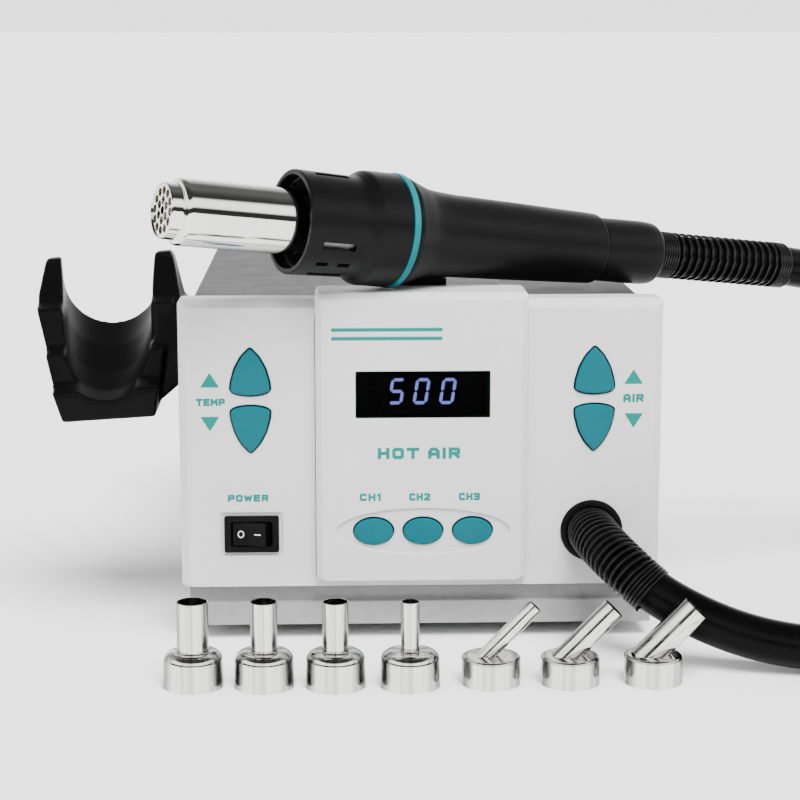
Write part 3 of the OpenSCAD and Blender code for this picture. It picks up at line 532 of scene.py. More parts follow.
HOSE_OUT = [(98, -39.5, 22), (110, -43, 16.8), (126, -46.5, 12.2), (144, -49, 9.6), (168, -51, 8.6),
            (202, -52, 8.5), (239, -51, 8.5)]
HOSE_UP = [(312.4, -43.6, 25.8), (342, -20, 25.8), (358.4, 14.1, 25.8), (358.4, 51.9, 25.8),
           (342, 86, 25.8), (323, 105, 26.6), (301, 116, 30.2), (279, 122.5, 38), (261, 125, 49),
           (246, 125.2, 62.5), (234.5, 124.2, 77.5), (226, 122.5, 91), (217, 119.6, 103.5),
           (206, 115.4, 115), (194, 110.4, 125), (181, 104.4, 131.7)]


def relief_point(distance):
    """A point at a distance along the bend relief's middle line: straight in the gland, then round."""
    if distance < 0:
        return GLAND + Vector((0, -distance, 0))
    a = distance / RELIEF_R
    side = RELIEF_R * (1 - math.cos(min(a, RELIEF_TURN)))
    point = GLAND + Vector((side * math.cos(RELIEF_SIDE), -RELIEF_R * math.sin(min(a, RELIEF_TURN)),
                            side * math.sin(RELIEF_SIDE)))
    return point + relief_direction(distance) * max(0, distance - RELIEF_R * RELIEF_TURN)


def relief_direction(distance):
    a = min(max(distance, 0) / RELIEF_R, RELIEF_TURN)
    return Vector((math.sin(a) * math.cos(RELIEF_SIDE), -math.cos(a), math.sin(a) * math.sin(RELIEF_SIDE)))


def hose_points():
    """The route's points in the case's frame."""
    loop = []
    for i in range(LOOP_STEPS + 1):
        a = math.radians(i * 360 / LOOP_STEPS - 90)
        lift = min(1, max(0, i - LOOP_STEPS + 4) / 3)
        loop.append((LOOP_MIDDLE[0] + LOOP_R * math.cos(a), LOOP_MIDDLE[1] + LOOP_R * math.sin(a),
                     HOSE_LAY_Z + (2 * HOSE_R + 0.5) * lift * lift * (3 - 2 * lift)))
    bend = [relief_point(RELIEF_R * RELIEF_TURN * i / 6) for i in range(7)]
    to_case = CASE.inverted()
    end = [to_case @ HANDLE @ Vector((0, 0, s)) for s in (SPRING_END, SPRING_END - 45, SPRING_END - 90)]
    return [GLAND + Vector((0, 6, 0)), *bend, *HOSE_OUT, *loop, *HOSE_UP, *end]


def smooth_path(points, spacing):
    """A curve through the points with even spacing, by Catmull-Rom spans of centripetal timing."""
    points = [Vector(p) for p in points]
    points = [points[0] * 2 - points[1], *points, points[-1] * 2 - points[-2]]
    fine = []
    for p0, p1, p2, p3 in zip(points, points[1:], points[2:], points[3:]):
        t1 = (p1 - p0).length ** 0.5
        t2 = t1 + (p2 - p1).length ** 0.5
        t3 = t2 + (p3 - p2).length ** 0.5
        for k in range(24):
            t = t1 + (t2 - t1) * k / 24
            a1 = p0 * ((t1 - t) / t1) + p1 * (t / t1)
            a2 = p1 * ((t2 - t) / (t2 - t1)) + p2 * ((t - t1) / (t2 - t1))
            a3 = p2 * ((t3 - t) / (t3 - t2)) + p3 * ((t - t2) / (t3 - t2))
            b1 = a1 * ((t2 - t) / t2) + a2 * (t / t2)
            b2 = a2 * ((t3 - t) / (t3 - t1)) + a3 * ((t - t1) / (t3 - t1))
            fine.append(b1 * ((t2 - t) / (t2 - t1)) + b2 * ((t - t1) / (t2 - t1)))
    fine.append(points[-2])
    path = [fine[0]]
    for p in fine:
        while (p - path[-1]).length >= spacing:
            path.append(path[-1] + (p - path[-1]).normalized() * spacing)
    return path


def relaxed(path, keep, rounds):
    """The path with its kinks eased, but for its first and last points."""
    for _ in range(rounds):
        path = [p if i < keep or i >= len(path) - keep else (path[i - 1] + 2 * p + path[i + 1]) / 4
                for i, p in enumerate(path)]
    return path


def add_hose(materials):
    path = relaxed(smooth_path(hose_points(), 3), 4, 12)
    hose = tube("hose_tube", path, HOSE_R, sides=40)
    dress(hose, "station", materials["hose"], "rubber_black")
    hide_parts("hose", "handle_hose_end")
    hose.parent = None
    del hose["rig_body"]
    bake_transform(hose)


def coil(name, spans, place_at, direction_at, place):
    """A wound wire: spans are (from, to, pitch) along the middle line."""
    points = []
    turn = 0.0
    steps = 36
    for start, end, pitch in spans:
        count = max(1, round((end - start) / pitch * steps))
        for k in range(count):
            s = start + (end - start) * k / count
            turn += 2 * math.pi / steps
            along = direction_at(s)
            across = along.cross(Vector((0.3, 0, 1))).normalized()
            up = across.cross(along)
            points.append(place_at(s) + SPRING_R * (math.cos(turn) * across + math.sin(turn) * up))
    return tube(name, points, WIRE_R, place, sides=10)


def add_springs(materials):
    bend = RELIEF_R * RELIEF_TURN
    spring = coil("station_relief_spring",
                  [(-6, 0, CLOSED_PITCH), (0, bend - 7.5, 2.5), (bend - 7.5, bend - 0.7, CLOSED_PITCH)],
                  relief_point, relief_direction, CASE)
    dress(spring, "station", materials["spring"], "spring_black", "station_spring")
    axis = Vector((0, 0, 1))
    spring = coil("handle_relief_spring",
                  [(97.2, 131.5, CLOSED_PITCH), (131.5, 184.5, 3.75), (184.5, 191.2, CLOSED_PITCH)],
                  lambda s: axis * s, lambda s: axis, HANDLE)
    dress(spring, "handle", materials["spring"], "spring_black", "handle_spring")


# ---- Case ----

BEZEL_Z = 21.3
BEZEL_D = 14
BEZEL_T = 3
CONSOLE_OUT = 6
CONSOLE_HALF = 41.2
CONSOLE_Z0 = 24.8
CONSOLE_TOP = 138.5
CONSOLE_BACK = 10.5
COVER_Z = CASE_H - 4.6
TEMP_X, AIR_X = -66.2, 67.3
UP_Z, DOWN_Z = 98.2, 93.9
CH_X = (-18.7, 0.5, 19.8)
CH_Z = 45.2
SWITCH_X, SWITCH_Z = -66.3, 43


def pad_outline(x, up):
    """A wing button's outline, anticlockwise: rounded at the wide end, pointed at the far one."""
    arc = [math.radians(a) for a in range(-78, 79, 12)]
    points = [(7.6 * math.sin(a) / math.sin(math.radians(78)), 2.6 - 2.6 * math.cos(a)) for a in arc]
    flank = [(7.3, 5.2), (5.8, 10.4), (3.4, 14.8), (0, 18.4), (-3.4, 14.8), (-5.8, 10.4), (-7.3, 5.2)]
    points = rounded(points + flank, 0.9, 3)
    if up:
        return [(x + px, UP_Z + pz) for px, pz in points]
    return [(x + px, DOWN_Z - pz) for px, pz in reversed(points)]


def chamfer_loops(x0, x1, z0, z1, y, size, edge=0.5):
    """Loops over a chamfer with eased edges, along the left, right and top of a front face."""
    steps = ((size + edge, 0), (size + edge * 0.3, edge * 0.08), (size - edge * 0.35, edge * 0.4),
             (edge * 0.4, size - edge * 0.35), (edge * 0.08, size + edge * 0.3), (0, size + edge))
    return [at_depth(rectangle(x0 + i, x1 - i, z0 + i * 0.16, z1 - i, 2.0), y + d) for i, d in steps]


def add_bezel(materials):
    half = CASE_W / 2
    skin = Skin()
    outer = chamfer_loops(-half, half, BEZEL_Z, CASE_H, 0, 3)
    outer += [at_depth(rectangle(-half, half, BEZEL_Z, CASE_H, 2.0), BEZEL_D)]
    inner = rectangle(-half + 2.4, half - 2.4, BEZEL_Z + 2.4, CASE_H - 2.4, 1.2)
    outer += [at_depth(inner, BEZEL_D), at_depth(inner, BEZEL_T)]
    front, back = skin.wall(outer)
    fronts, backs = [front], [back]
    holes = [rectangle(-CONSOLE_HALF, CONSOLE_HALF, CONSOLE_Z0, 130, 1.5), oval(GLAND.x, GLAND.z, 22.4, 22.4)]
    holes += [grown(pad_outline(x, up), 0.6) for x in (TEMP_X, AIR_X) for up in (True, False)]
    for hole in holes:
        a, b = skin.wall(rim(hole, 0, BEZEL_T, 0.3, hole=True))
        fronts.append(a)
        backs.append(b)
    recess = rectangle(SWITCH_X - 12.1, SWITCH_X + 12.1, SWITCH_Z - 8.6, SWITCH_Z + 8.6, 0.9)
    opening = rectangle(SWITCH_X - 9.8, SWITCH_X + 9.8, SWITCH_Z - 6.6, SWITCH_Z + 6.6, 0.4)
    a, floor = skin.wall(rim(recess, 0, 0.8, 0.25, hole=True))
    b, c = skin.wall([at_depth(opening, 0.8), at_depth(opening, BEZEL_T)])
    fronts.append(a)
    skin.fill(floor, b)
    backs.append(c)
    skin.fill(*fronts)
    skin.fill(*backs)
    dress(skin.piece("bezel"), "station", materials["bezel"], "case_plastic", "front_bezel")


WINDOW = (-25.6, 26.4, 89.8, 108.2)


def add_console(materials):
    half = CONSOLE_HALF - 0.2
    z0 = CONSOLE_Z0 + 0.2
    face = -CONSOLE_OUT
    skin = Skin()
    outer = chamfer_loops(-half, half, z0, CONSOLE_TOP, face, 2.4)
    outer += [at_depth(rectangle(-half, half, z0, CONSOLE_TOP, 2.0), CONSOLE_BACK)]
    inner = rectangle(-half + 2.8, half - 2.8, z0 + 2.8, CONSOLE_TOP - 2.8, 1.2)
    outer += [at_depth(inner, CONSOLE_BACK), at_depth(inner, face + 3)]
    front, back = skin.wall(outer)
    window_front, window_back = skin.wall(rim(rectangle(*WINDOW, 0.5), face, face + 3, 0.3, hole=True))
    dish = oval(0.6, CH_Z, 67.5, 18, 120)
    dish_front, dish_floor = skin.wall(rim(dish, face, face + 0.9, 0.4, hole=True))
    holes = [skin.wall(rim(oval(x, CH_Z, 16.2, 11.2), face + 0.9, face + 3, 0.25, hole=True)) for x in CH_X]
    skin.fill(front, window_front, dish_front)
    skin.fill(dish_floor, *[h[0] for h in holes])
    skin.fill(back, window_back, *[h[1] for h in holes])
    roof = rectangle(-half, half, CASE_H - 6.8, CONSOLE_TOP, 2.0)
    rows = skin.wall([at_depth(roof, CONSOLE_BACK), *rim(roof, 18, CONSOLE_BACK, 0.5)[::-1]])
    skin.fill(rows[0])
    skin.fill(rows[1])
    dress(skin.piece("console"), "station", materials["bezel"], "case_plastic", "centre_console")


def add_cover(materials):
    side, sheet, strip = (CASE_W - 6.6) / 2, 1.6, 35.5
    step, top = strip + 1.8, COVER_Z + 1.8
    outer = [(side, BEZEL_Z), (side, COVER_Z), (step, COVER_Z), (strip, top), (-strip, top),
             (-step, COVER_Z), (-side, COVER_Z), (-side, BEZEL_Z)]
    inside = [(-side + sheet, BEZEL_Z), (-side + sheet, COVER_Z - sheet), (side - sheet, COVER_Z - sheet),
              (side - sheet, BEZEL_Z)]
    skin = Skin()
    skin.prism(rounded(outer + inside, 1.4), 19, CASE_D, 0, 0.3)
    for s in (-1, 1):
        right = [(42.2, COVER_Z), (side, COVER_Z), (side, BEZEL_Z), (side - sheet, BEZEL_Z),
                 (side - sheet, COVER_Z - sheet), (42.2, COVER_Z - sheet)]
        corner = [(s * x, z) for x, z in right]
        skin.prism(rounded(corner[::-s], 0.7), 10, 19)
    cover = skin.piece("cover")
    slots = Skin()
    for s in (-1, 1):
        for y in range(60, 205, 9):
            outline = rectangle(y, y + 3, 58, 84, 1.45)
            a, b = slots.wall([[(s * side + d, v, w) for v, w in outline] for d in (-4, 4)])
            slots.bm.faces.new(a)
            slots.bm.faces.new(b)
    cut(cover, slots.piece("slots"))
    dress(cover, "station", materials["cover"], "cover_paint", "top_cover")


def add_window_and_switch(materials):
    skin = Skin()
    x0, x1, z0, z1 = WINDOW
    skin.prism(rectangle(x0 + 0.2, x1 - 0.2, z0 + 0.2, z1 - 0.2, 0.4), -5.4, -3.8, 0.25, 0.1)
    dress(skin.piece("window_pane"), "station", materials["window"], "smoked_window", "display_window")

    skin = Skin()
    outline = rectangle(SWITCH_X - 10.7, SWITCH_X + 10.7, SWITCH_Z - 7.3, SWITCH_Z + 7.3, 0.9)
    well = rectangle(SWITCH_X - 8, SWITCH_X + 8, SWITCH_Z - 4.9, SWITCH_Z + 4.9, 0.5)
    body = rectangle(SWITCH_X - 9.6, SWITCH_X + 9.6, SWITCH_Z - 6.4, SWITCH_Z + 6.4, 0.5)
    loops = rim(outline, -0.9, 0.8, 0.4) + [at_depth(body, 0.8), *rim(body, 17, 1.2, 0.4)[::-1]]
    front, back = skin.wall(loops)
    well_front, well_floor = skin.wall(rim(well, -0.9, 11, 0.35, hole=True))
    skin.fill(front, well_front)
    skin.fill(back)
    skin.fill(well_floor)
    dress(skin.piece("switch_surround"), "station", materials["switch"], "switch_black", "switch_frame")


ROCKER_SWING = math.radians(20)
ROCKER_PIVOT_Y = 4.6


def add_rocker(materials):
    pivot = Matrix.Translation((SWITCH_X, ROCKER_PIVOT_Y, 0))
    place = CASE @ pivot @ Matrix.Rotation(-ROCKER_SWING / 2, 4, "Z")
    plan = [(-6.5, -6.0), (0, -5.1), (6.5, -6.0), (7.2, -1.5), (2.8, 3.4), (-2.8, 3.4), (-7.2, -1.5)]
    soft = rounded(plan, 0.5, 4)
    levels = ((-4.7, 0.3), (-4.61, 0.09), (-4.4, 0), (4.4, 0), (4.61, 0.09), (4.7, 0.3))
    skin = Skin()
    a, b = skin.wall([[(x, y, SWITCH_Z + z) for x, y in grown(soft, -inset)] for z, inset in levels])
    skin.fill(a)
    skin.fill(b)
    dress(skin.piece("rocker", place), "power_rocker", materials["switch"], "switch_black", "power_rocker")

    marks = Skin()
    slope = math.atan2(0.9, 6.5)
    for x, outline, hole in ((-3.3, oval(0, 0, 2.5, 2.9, 40), oval(0, 0, 1.8, 2.2, 40)),
                             (3.3, rectangle(-1.3, 1.3, -0.2, 0.2, 0.1), None)):
        turn = slope if x < 0 else -slope
        face_y = -5.1 - abs(x) * math.tan(slope)
        tilt = Matrix.Translation((x, face_y, SWITCH_Z)) @ Matrix.Rotation(turn, 4, "Z")
        rows = marks.wall([[tilt @ Vector(p) for p in at_depth(outline, y)] for y in (-0.03, 0.1)])
        if hole:
            more = marks.wall([[tilt @ Vector(p) for p in at_depth(hole, y)] for y in (-0.03, 0.1)])
            marks.fill(rows[0], more[0])
            marks.fill(rows[1], more[1])
        else:
            marks.fill(rows[0])
            marks.fill(rows[1])
    dress(marks.piece("rocker_marks", place), "power_rocker", materials["white"], "switch_black")


def add_button(name, outline, face, back, crown, materials):
    """A push button: its cap with an eased edge and a slightly domed face."""
    skin = Skin()
    loops = [at_depth(outline, back)]
    for inset, depth in ((0, 0.55), (0.05, 0.32), (0.18, 0.13), (0.42, 0.03), (0.7, 0)):
        loops.append(at_depth(grown(outline, -inset), face + depth))
    middle = sum((Vector(p) for p in outline), Vector((0, 0))) / len(outline)
    edge = grown(outline, -0.7)
    for k in range(1, 7):
        t = k / 7
        ring = [Vector(p).lerp(middle, t) for p in edge]
        loops.append(at_depth([tuple(p) for p in ring], face - crown * math.sin(t * math.pi / 2)))
    a, b = skin.wall(loops)
    skin.fill(a)
    skin.fill(b)
    cap = skin.piece(name + "_cap", sharp=60)
    dress(cap, name + "_button", materials["teal"], "button_teal", name + "_button")


def add_buttons(materials):
    for name, x, up in (("temp_up", TEMP_X, True), ("temp_down", TEMP_X, False),
                        ("air_up", AIR_X, True), ("air_down", AIR_X, False)):
        add_button(name, pad_outline(x, up), -1.2, BEZEL_T, 0.12, materials)
    for i, x in enumerate(CH_X):
        outline = oval(x, CH_Z - 0.28, 15.3, 10.4)
        add_button(f"ch{i + 1}", outline, -CONSOLE_OUT - 0.1, BEZEL_T - CONSOLE_OUT, 0.2, materials)


# ---- Marks on the panel ----

STROKES = {
    "A": ["0,0 0,4 1,6 3,6 4,4 4,0", "0,2.3 4,2.3"],
    "C": ["4,5 3.2,6 0.8,6 0,5 0,1 0.8,0 3.2,0 4,1"],
    "E": ["4,6 0,6 0,0 4,0", "0,3.1 3.5,3.1"],
    "H": ["0,0 0,6", "4,0 4,6", "0,3 4,3"],
    "I": ["0,0 0,6"],
    "M": ["0,0 0,6 2.4,2.2 4.8,6 4.8,0"],
    "O": ["0.8,0 0,1 0,5 0.8,6 3.2,6 4,5 4,1 3.2,0 0.8,0"],
    "P": ["0,0 0,6 3.3,6 4,5.2 4,3.4 3.3,2.6 0,2.6"],
    "R": ["0,0 0,6 3.3,6 4,5.2 4,3.6 3.3,2.8 0,2.8", "2,2.8 4,0"],
    "T": ["0,6 4.4,6", "2.2,6 2.2,0"],
    "W": ["0,6 1.2,0 2.7,5 4.2,0 5.4,6"],
    "1": ["0,4.8 1.3,6 1.3,0"],
    "2": ["0,5 0.8,6 3.2,6 4,5 4,3.8 0,0 4,0"],
    "3": ["0,6 3.4,6 4,5.2 4,3.8 3.4,3.1 1,3.1", "3.4,3.1 4,2.4 4,0.8 3.4,0 0,0"],
}
LETTER_HEIGHT = 6
LETTER_GAP = 2.9
STROKE = 0.3
LAYER = 0.003


def letter_lines(letter):
    """The letter's centre lines as lists of points."""
    lines = [line.split() for line in STROKES[letter]]
    return [[Vector([float(v) for v in pair.split(",")]) for pair in line] for line in lines]


def word(text, x, z, width, height, face):
    """A word in bold block letters as a thin raised print, fitted to a width and a height round a centre."""
    lines = []
    across = 0.0
    for letter in text:
        if letter == " ":
            across += LETTER_GAP
            continue
        drawn = letter_lines(letter)
        lines += [[p + Vector((across, 0)) for p in line] for line in drawn]
        across += max(p.x for line in drawn for p in line) + LETTER_GAP
    stroke = STROKE * height
    fit_x, fit_z = (width - stroke) / (across - LETTER_GAP), (height - stroke) / LETTER_HEIGHT
    left, bottom = x - (width - stroke) / 2, z - (height - stroke) / 2
    bars = []
    for line in lines:
        points = [Vector((left + p.x * fit_x, bottom + p.y * fit_z)) for p in line]
        for a, b in zip(points, points[1:]):
            along = (b - a).normalized() * stroke / 2
            side = Vector((-along.y, along.x))
            end = 0.55 if abs(along.x * along.y) > 0.001 else 1.0
            start, stop = a - along * end, b + along * end
            corners = [start - side, stop - side, stop + side, start + side]
            bars.append(plate(corners, face - LAYER * (len(bars) % 4)))
    return bars


def plate(outline, face, hole=None):
    skin = Skin()
    rows = skin.wall([at_depth(outline, face - 0.04), at_depth(outline, face + 0.05)])
    more = skin.wall([at_depth(hole, face - 0.04), at_depth(hole, face + 0.05)]) if hole else None
    skin.fill(rows[0], *([more[0]] if more else []))
    skin.fill(rows[1], *([more[1]] if more else []))
    return skin.piece("plate", Matrix.Identity(4))


def add_marks(materials):
    face = -CONSOLE_OUT
    marks = word("TEMP", -81.6, 95.5, 11.2, 2.9, 0) + word("AIR", 82.6, 96.2, 8.0, 3.3, 0)
    marks += word("POWER", -67.5, 57.4, 15.8, 2.8, 0) + word("HOT AIR", -1.1, 76.1, 32, 4.5, face)
    for i, x in enumerate(CH_X):
        marks += word(f"CH{i + 1}", x - 1.3, 58.8, 8.2, 3.0, face)
    for x, z, up in ((-81.8, 104.2, 1), (-81.9, 86.9, -1), (82.5, 104.7, 1), (82.8, 87.3, -1)):
        triangle = [(-3.7, -2.9 * up), (3.7, -2.9 * up), (0, 2.9 * up)][::up]
        marks.append(plate([(x + a, z + b) for a, b in rounded(triangle, 0.3, 2)], 0))
    for z in (124.4, 121.0):
        marks.append(plate(rectangle(-34.9, 7.9, z - 0.7, z + 0.7, 0.6), face))
    labels = joined("panel_marks", marks)
    labels.data.transform(CASE)
    dress(labels, "station", materials["label"], "button_teal")


# ---- Cradle ----

CRADLE_VOXEL = 0.0007
CRADLE_SMOOTHING = 9


def add_cradle(materials):
    cradle = bpy.data.objects.new("cradle_moulding", NODES["cradle"].data.copy())
    bpy.context.scene.collection.objects.link(cradle)
    mesh = bmesh.new()
    mesh.from_mesh(cradle.data)
    bmesh.ops.remove_doubles(mesh, verts=mesh.verts, dist=1e-6)
    mesh.to_mesh(cradle.data)
    mesh.free()
    remesh = cradle.modifiers.new("remesh", "REMESH")
    remesh.mode = "VOXEL"
    remesh.voxel_size = CRADLE_VOXEL
    smooth = cradle.modifiers.new("smooth", "SMOOTH")
    smooth.factor = 0.5
    smooth.iterations = CRADLE_SMOOTHING
    applied(cradle)
    cradle.modifiers.clear()
    cradle.data.shade_smooth()
    dress(cradle, "station", materials["cradle"], "cradle_black", "cradle")


# ---- Handle ----

def add_handle(materials):
    dark = materials["handle"]
    grip = rounded([
        (12.9, 1.4), (21.3, 1.4), (21.3, 3.4), (20.4, 5.4), (17.6, 12.6), (16.9, 17), (16.2, 26), (15.4, 56),
        (14.4, 88), (14.2, 92.4), (13.6, 93), (10.6, 93), (10.6, 90), (11.8, 88), (13.4, 40), (13.6, 14),
        (12.9, 9)
    ], 3.5, 5)
    dress(lathe("grip_shell", grip, HANDLE), "handle", materials["grip"], "handle_black", "grip")
    tail = rounded([
        (9.85, 93.2), (12.7, 93.2), (12.9, 94.2), (13, 117), (12.6, 121), (11.4, 122.5), (9.85, 122.5)
    ], 1.6, 5)
    sleeve = lathe("grip_tail_sleeve", tail, HANDLE)
    dress(sleeve, "handle", materials["grip"], "handle_black", "grip_tail")
    guard = rounded([
        (17.7, -43.5), (19.6, -43.5), (19.9, -43), (19.4, -20), (19.6, -17.8), (21.6, -15.4), (22.0, -14),
        (22.0, -1.4), (12.9, -1.4), (12.9, -5), (17.2, -7), (17.2, -10.5), (12.6, -10.5), (12.6, -13.5),
        (17.4, -13.5)
    ], 0.7, 4)
    shell = lathe("guard_shell", guard, HANDLE)
    slots = Skin()
    for side in (-1, 1):
        openings = [(a, -30.2, 14, 3) for a in (20, 69, 165)] + [(44, -30.2 + s, 5, 2) for s in (-4.5, 4.5)]
        for angle, s, length, width in openings:
            turn = Matrix.Rotation(math.radians(-side * angle), 4, "Z")
            outline = rectangle(-width / 2, width / 2, s - length / 2, s + length / 2, 0.35, 3)
            a, b = slots.wall([[turn @ Vector((r, u, v)) for u, v in outline] for r in (10, 24)])
            slots.bm.faces.new(a)
            slots.bm.faces.new(b)
    cut(shell, slots.piece("slots", HANDLE))
    dress(shell, "handle", dark, "handle_black", "front_guard")
    liner = [(16.9, -39), (17.3, -39), (17.3, -21), (16.9, -21)]
    dress(lathe("guard_sleeve", liner, HANDLE, 96), "handle", materials["sleeve"], "polished_steel")
    ring = rounded([(13, -1.3), (22.2, -1.3), (22.3, 0), (22.2, 1.3), (13, 1.3)], 0.35, 4)
    dress(lathe("teal_ring", ring, HANDLE), "handle", materials["ring"], "ring_teal", "trim_ring")
    barrel = rounded([
        (9.75, -95.4), (10.25, -95.4), (10.45, -95.0), (10.45, -90.4), (11.5, -90.2), (12.2, -89.6),
        (12.5, -88.4), (12.5, -6), (11.9, -6), (11.9, -88.6), (11.2, -89.6), (9.75, -89.9)
    ], 0.5, 4)
    pipe = lathe("barrel_tube", barrel, HANDLE, 200)
    dress(pipe, "handle", materials["barrel"], "polished_steel", "barrel")


# ---- Nozzles ----

NOZZLE_X = (-86.2, -60.1, -33.9, -6.5, 23.4, 52.65, 83.5)
NOZZLE_Y = (-55.7, -56.5, -57.4, -58, -56.4, -57, -56.5)
SPOUT_R = (5.9, 4.95, 4.85, 3.45, 3, 4.4, 5.5)
NOZZLE_H = 31.8
NOZZLE_LEAN = math.radians(44)
LEANING = {4: (-3.7, 28.6), 5: (-2.9, 27.2), 6: (-3.3, 26.8)}
CAP_R = 10.95
CAP_H = 13.2
LOW_CAP_H = 10.5
SHEET = 0.45


def nozzle_place(i):
    return CASE @ Matrix.Translation((NOZZLE_X[i], NOZZLE_Y[i], 0))


def straight_nozzle(i):
    r, t = SPOUT_R[i], SHEET
    shoulder = [(CAP_R - 3.8 + 3.8 * math.cos(a), CAP_H - 3.6 + 3.6 * math.sin(a))
                for a in (math.pi / 2 * k / 8 for k in range(9))]
    inside = [(CAP_R - 3.9 + 3.4 * math.cos(a), CAP_H - 3.8 + 3.35 * math.sin(a))
              for a in (math.pi / 2 * (8 - k) / 8 for k in range(9))]
    profile = [
        (CAP_R - t, 0), (CAP_R + 0.2, 0), (CAP_R + 0.38, 0.12), (CAP_R + 0.4, 0.4), (CAP_R + 0.3, 1.2),
        (CAP_R + 0.1, 4), *shoulder, (r + 0.25, CAP_H - 0.1), (r, CAP_H + 0.15), (r, NOZZLE_H - 0.1),
        (r - 0.1, NOZZLE_H), (r - t + 0.1, NOZZLE_H), (r - t, NOZZLE_H - 0.1), (r - t, CAP_H - t - 0.1),
        *inside
    ]
    return lathe(f"nozzle_{i + 1}_turned", profile, nozzle_place(i), 120)


def angled_nozzle(i):
    r, t = SPOUT_R[i], SHEET
    root, length = LEANING[i]
    place = nozzle_place(i)
    edge = [(CAP_R - 1.2 + 1.2 * math.cos(a), LOW_CAP_H - 1.2 + 1.2 * math.sin(a))
            for a in (math.pi / 2 * k / 5 for k in range(6))]
    cap = [(CAP_R - t, 0), (CAP_R - 0.12, 0), (CAP_R, 0.15), *edge, (0, LOW_CAP_H), (0, LOW_CAP_H - t),
           (CAP_R - 1.3, LOW_CAP_H - t), (CAP_R - t - 0.2, LOW_CAP_H - 0.8), (CAP_R - t, LOW_CAP_H - 1.5)]
    lean = place @ Matrix.Translation((root, 0, LOW_CAP_H - 2)) @ Matrix.Rotation(NOZZLE_LEAN, 4, "Y")
    base = lathe(f"nozzle_{i + 1}_turned", cap, place, 120)
    core = [(0, -2), (r - t, -2), (r - t, length + 3), (0, length + 3)]
    cut(base, lathe("bore", core, lean, 80))
    spout = lathe("spout", [(r - t, -1), (r, -1), (r, length), (r - t, length)], lean, 80)
    below = Skin()
    below.prism(rectangle(-15, 15, -5, LOW_CAP_H - t * 0.5, 0.1), -15, 15)
    cut(spout, below.piece("below", place))
    return joined(f"nozzle_{i + 1}_turned", [base, spout])


def add_nozzles(materials):
    for i in range(len(NOZZLE_X)):
        nozzle = angled_nozzle(i) if i in LEANING else straight_nozzle(i)
        name = f"nozzle_{i + 1}"
        dress(nozzle, name, materials["nozzle"], "polished_steel", name)


# ---- Small parts ----

def add_gland(materials):
    profile = rounded([(9.8, -1.6), (11.6, -1.6), (12.3, -0.9), (12.3, 0), (11.1, 0), (11.1, 3), (12.6, 3),
                       (12.6, 6.4), (9.8, 6.4)], 0.5, 3)
    place = CASE @ Matrix.Translation(GLAND) @ Matrix.Rotation(-math.pi / 2, 4, "X")
    gland = lathe("gland_ring", profile, place, 96)
    dress(gland, "station", materials["rubber"], "rubber_black", "hose_gland")


def add_feet(materials):
    profile = rounded([(1.8, 3.4), (4, 3.4), (4, 0), (8.6, 0), (9, 0.6), (9, 6), (1.8, 6)], 0.4, 3)
    places = [CASE @ Matrix.Translation((x, y, 0)) for x in (-74, 74) for y in (34, 208)]
    feet = [lathe("foot", profile, place, 64) for place in places]
    dress(joined("rubber_feet", feet), "station", materials["rubber"], "rubber_black", "feet")


CAD_MATERIALS = {
    "chassis_base": "base", "rear_panel": "cover", "display_module": "display", "display_digits": "led",
    "control_board": "board", "tact_switches": "switch", "rocker_pin": "screw", "air_duct": "rubber",
    "blower_housing": "blower", "blower_impeller": "blower", "blower_motor": "motor",
    "transformer_core": "core", "transformer_winding": "winding", "power_board": "board",
    "power_components": "parts", "inlet_socket": "switch", "inlet_pins": "screw", "fuse_holder": "switch",
    "foot_screws": "screw", "cover_screws": "screw", "cradle_screws": "screw", "cradle_magnet": "screw",
    "rest_block": "rubber", "barrel_grille": "barrel", "heater_core": "ceramic", "mica_sleeve": "mica"
}


def paint_cad_nodes(materials):
    for node, name in CAD_MATERIALS.items():
        obj = NODES[node]
        obj.data.materials.clear()
        obj.data.materials.append(materials[name])


# ---- Studio ----

FLOOR_REACH = 40
SUN_LIGHT = 8.5
SUN_SPREAD = math.radians(36)
SUN_TURN = (math.radians(30), 0, math.radians(14))
WORLD_LIGHT = 2.5
FRONT_LIGHT = ((-0.03, 0.015), (0.25, 0.015), (0.36, 1.0), (0.63, 1.0), (0.74, 0.02))
BACK_LIGHT = ((0.0, 0.92), (0.35, 0.92), (0.6, 0.35), (0.80, 0.06))


def sky_ramp(shader, height, stops):
    """Light by the height of the direction, from stops of (height, brightness)."""
    node = shader.nodes.new("ShaderNodeValToRGB")
    node.color_ramp.interpolation = "EASE"
    while len(node.color_ramp.elements) < len(stops):
        node.color_ramp.elements.new(0.5)
    for element, (at, light) in zip(node.color_ramp.elements, stops):
        element.position = (at + 1) / 2
        element.color = (light, light, light, 1)
    shader.links.new(height, node.inputs[0])
    return node.outputs["Color"]


def ranged(shader, value, from_min, from_max, to_min, to_max):
    node = shader.nodes.new("ShaderNodeMapRange")
    names = ("From Min", "From Max", "To Min", "To Max")
    for name, number in zip(names, (from_min, from_max, to_min, to_max)):
        node.inputs[name].default_value = number
    shader.links.new(value, node.inputs["Value"])
    return node.outputs["Result"]


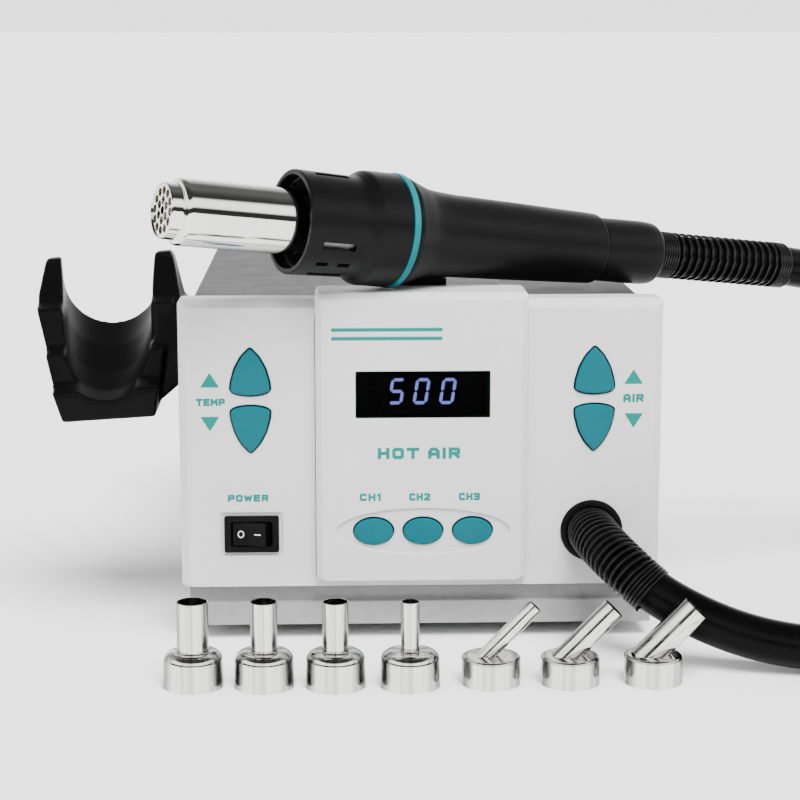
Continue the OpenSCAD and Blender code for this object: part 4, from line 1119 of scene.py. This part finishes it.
def add_world():
    """A studio: a bright backdrop, a bright band of soft boxes in front and a dark ceiling."""
    world = bpy.data.worlds.new("studio")
    world.use_nodes = True
    tree = world.node_tree
    direction = tree.nodes.new("ShaderNodeSeparateXYZ")
    tree.links.new(tree.nodes.new("ShaderNodeTexCoord").outputs["Generated"], direction.inputs[0])
    height = ranged(tree, direction.outputs["Z"], -1, 1, 0, 1)
    mix = tree.nodes.new("ShaderNodeMix")
    mix.data_type = "RGBA"
    tree.links.new(ranged(tree, direction.outputs["Y"], -0.1, 0.25, 0, 1), mix.inputs[0])
    tree.links.new(sky_ramp(tree, height, FRONT_LIGHT), mix.inputs[6])
    tree.links.new(sky_ramp(tree, height, BACK_LIGHT), mix.inputs[7])
    background = tree.nodes["Background"]
    tree.links.new(mix.outputs[2], background.inputs["Color"])
    background.inputs["Strength"].default_value = WORLD_LIGHT
    bpy.context.scene.world = world


def add_studio():
    mesh = bpy.data.meshes.new("floor")
    corners = [(x * FLOOR_REACH, y * FLOOR_REACH, 0) for x, y in ((-1, -1), (1, -1), (1, 1), (-1, 1))]
    mesh.from_pydata(corners, [], [(0, 1, 2, 3)])
    floor = bpy.data.objects.new("floor", mesh)
    bpy.context.scene.collection.objects.link(floor)
    shader = Shader("floor", (0.9, 0.9, 0.9), 0.8).set(specular=0.1).mottle(0.5, (0.89, 0.89, 0.89))
    mesh.materials.append(shader.material)
    add_world()
    light = bpy.data.lights.new("soft_sun", "SUN")
    light.energy = SUN_LIGHT
    light.angle = SUN_SPREAD
    sun = bpy.data.objects.new("soft_sun", light)
    sun.rotation_euler = SUN_TURN
    sun.visible_glossy = False
    bpy.context.scene.collection.objects.link(sun)


add_camera()
MATERIALS = make_materials()
add_hose(MATERIALS)
add_springs(MATERIALS)
add_bezel(MATERIALS)
add_console(MATERIALS)
add_cover(MATERIALS)
add_window_and_switch(MATERIALS)
add_rocker(MATERIALS)
add_buttons(MATERIALS)
add_marks(MATERIALS)
add_cradle(MATERIALS)
add_handle(MATERIALS)
add_nozzles(MATERIALS)
add_gland(MATERIALS)
add_feet(MATERIALS)
paint_cad_nodes(MATERIALS)
add_studio()
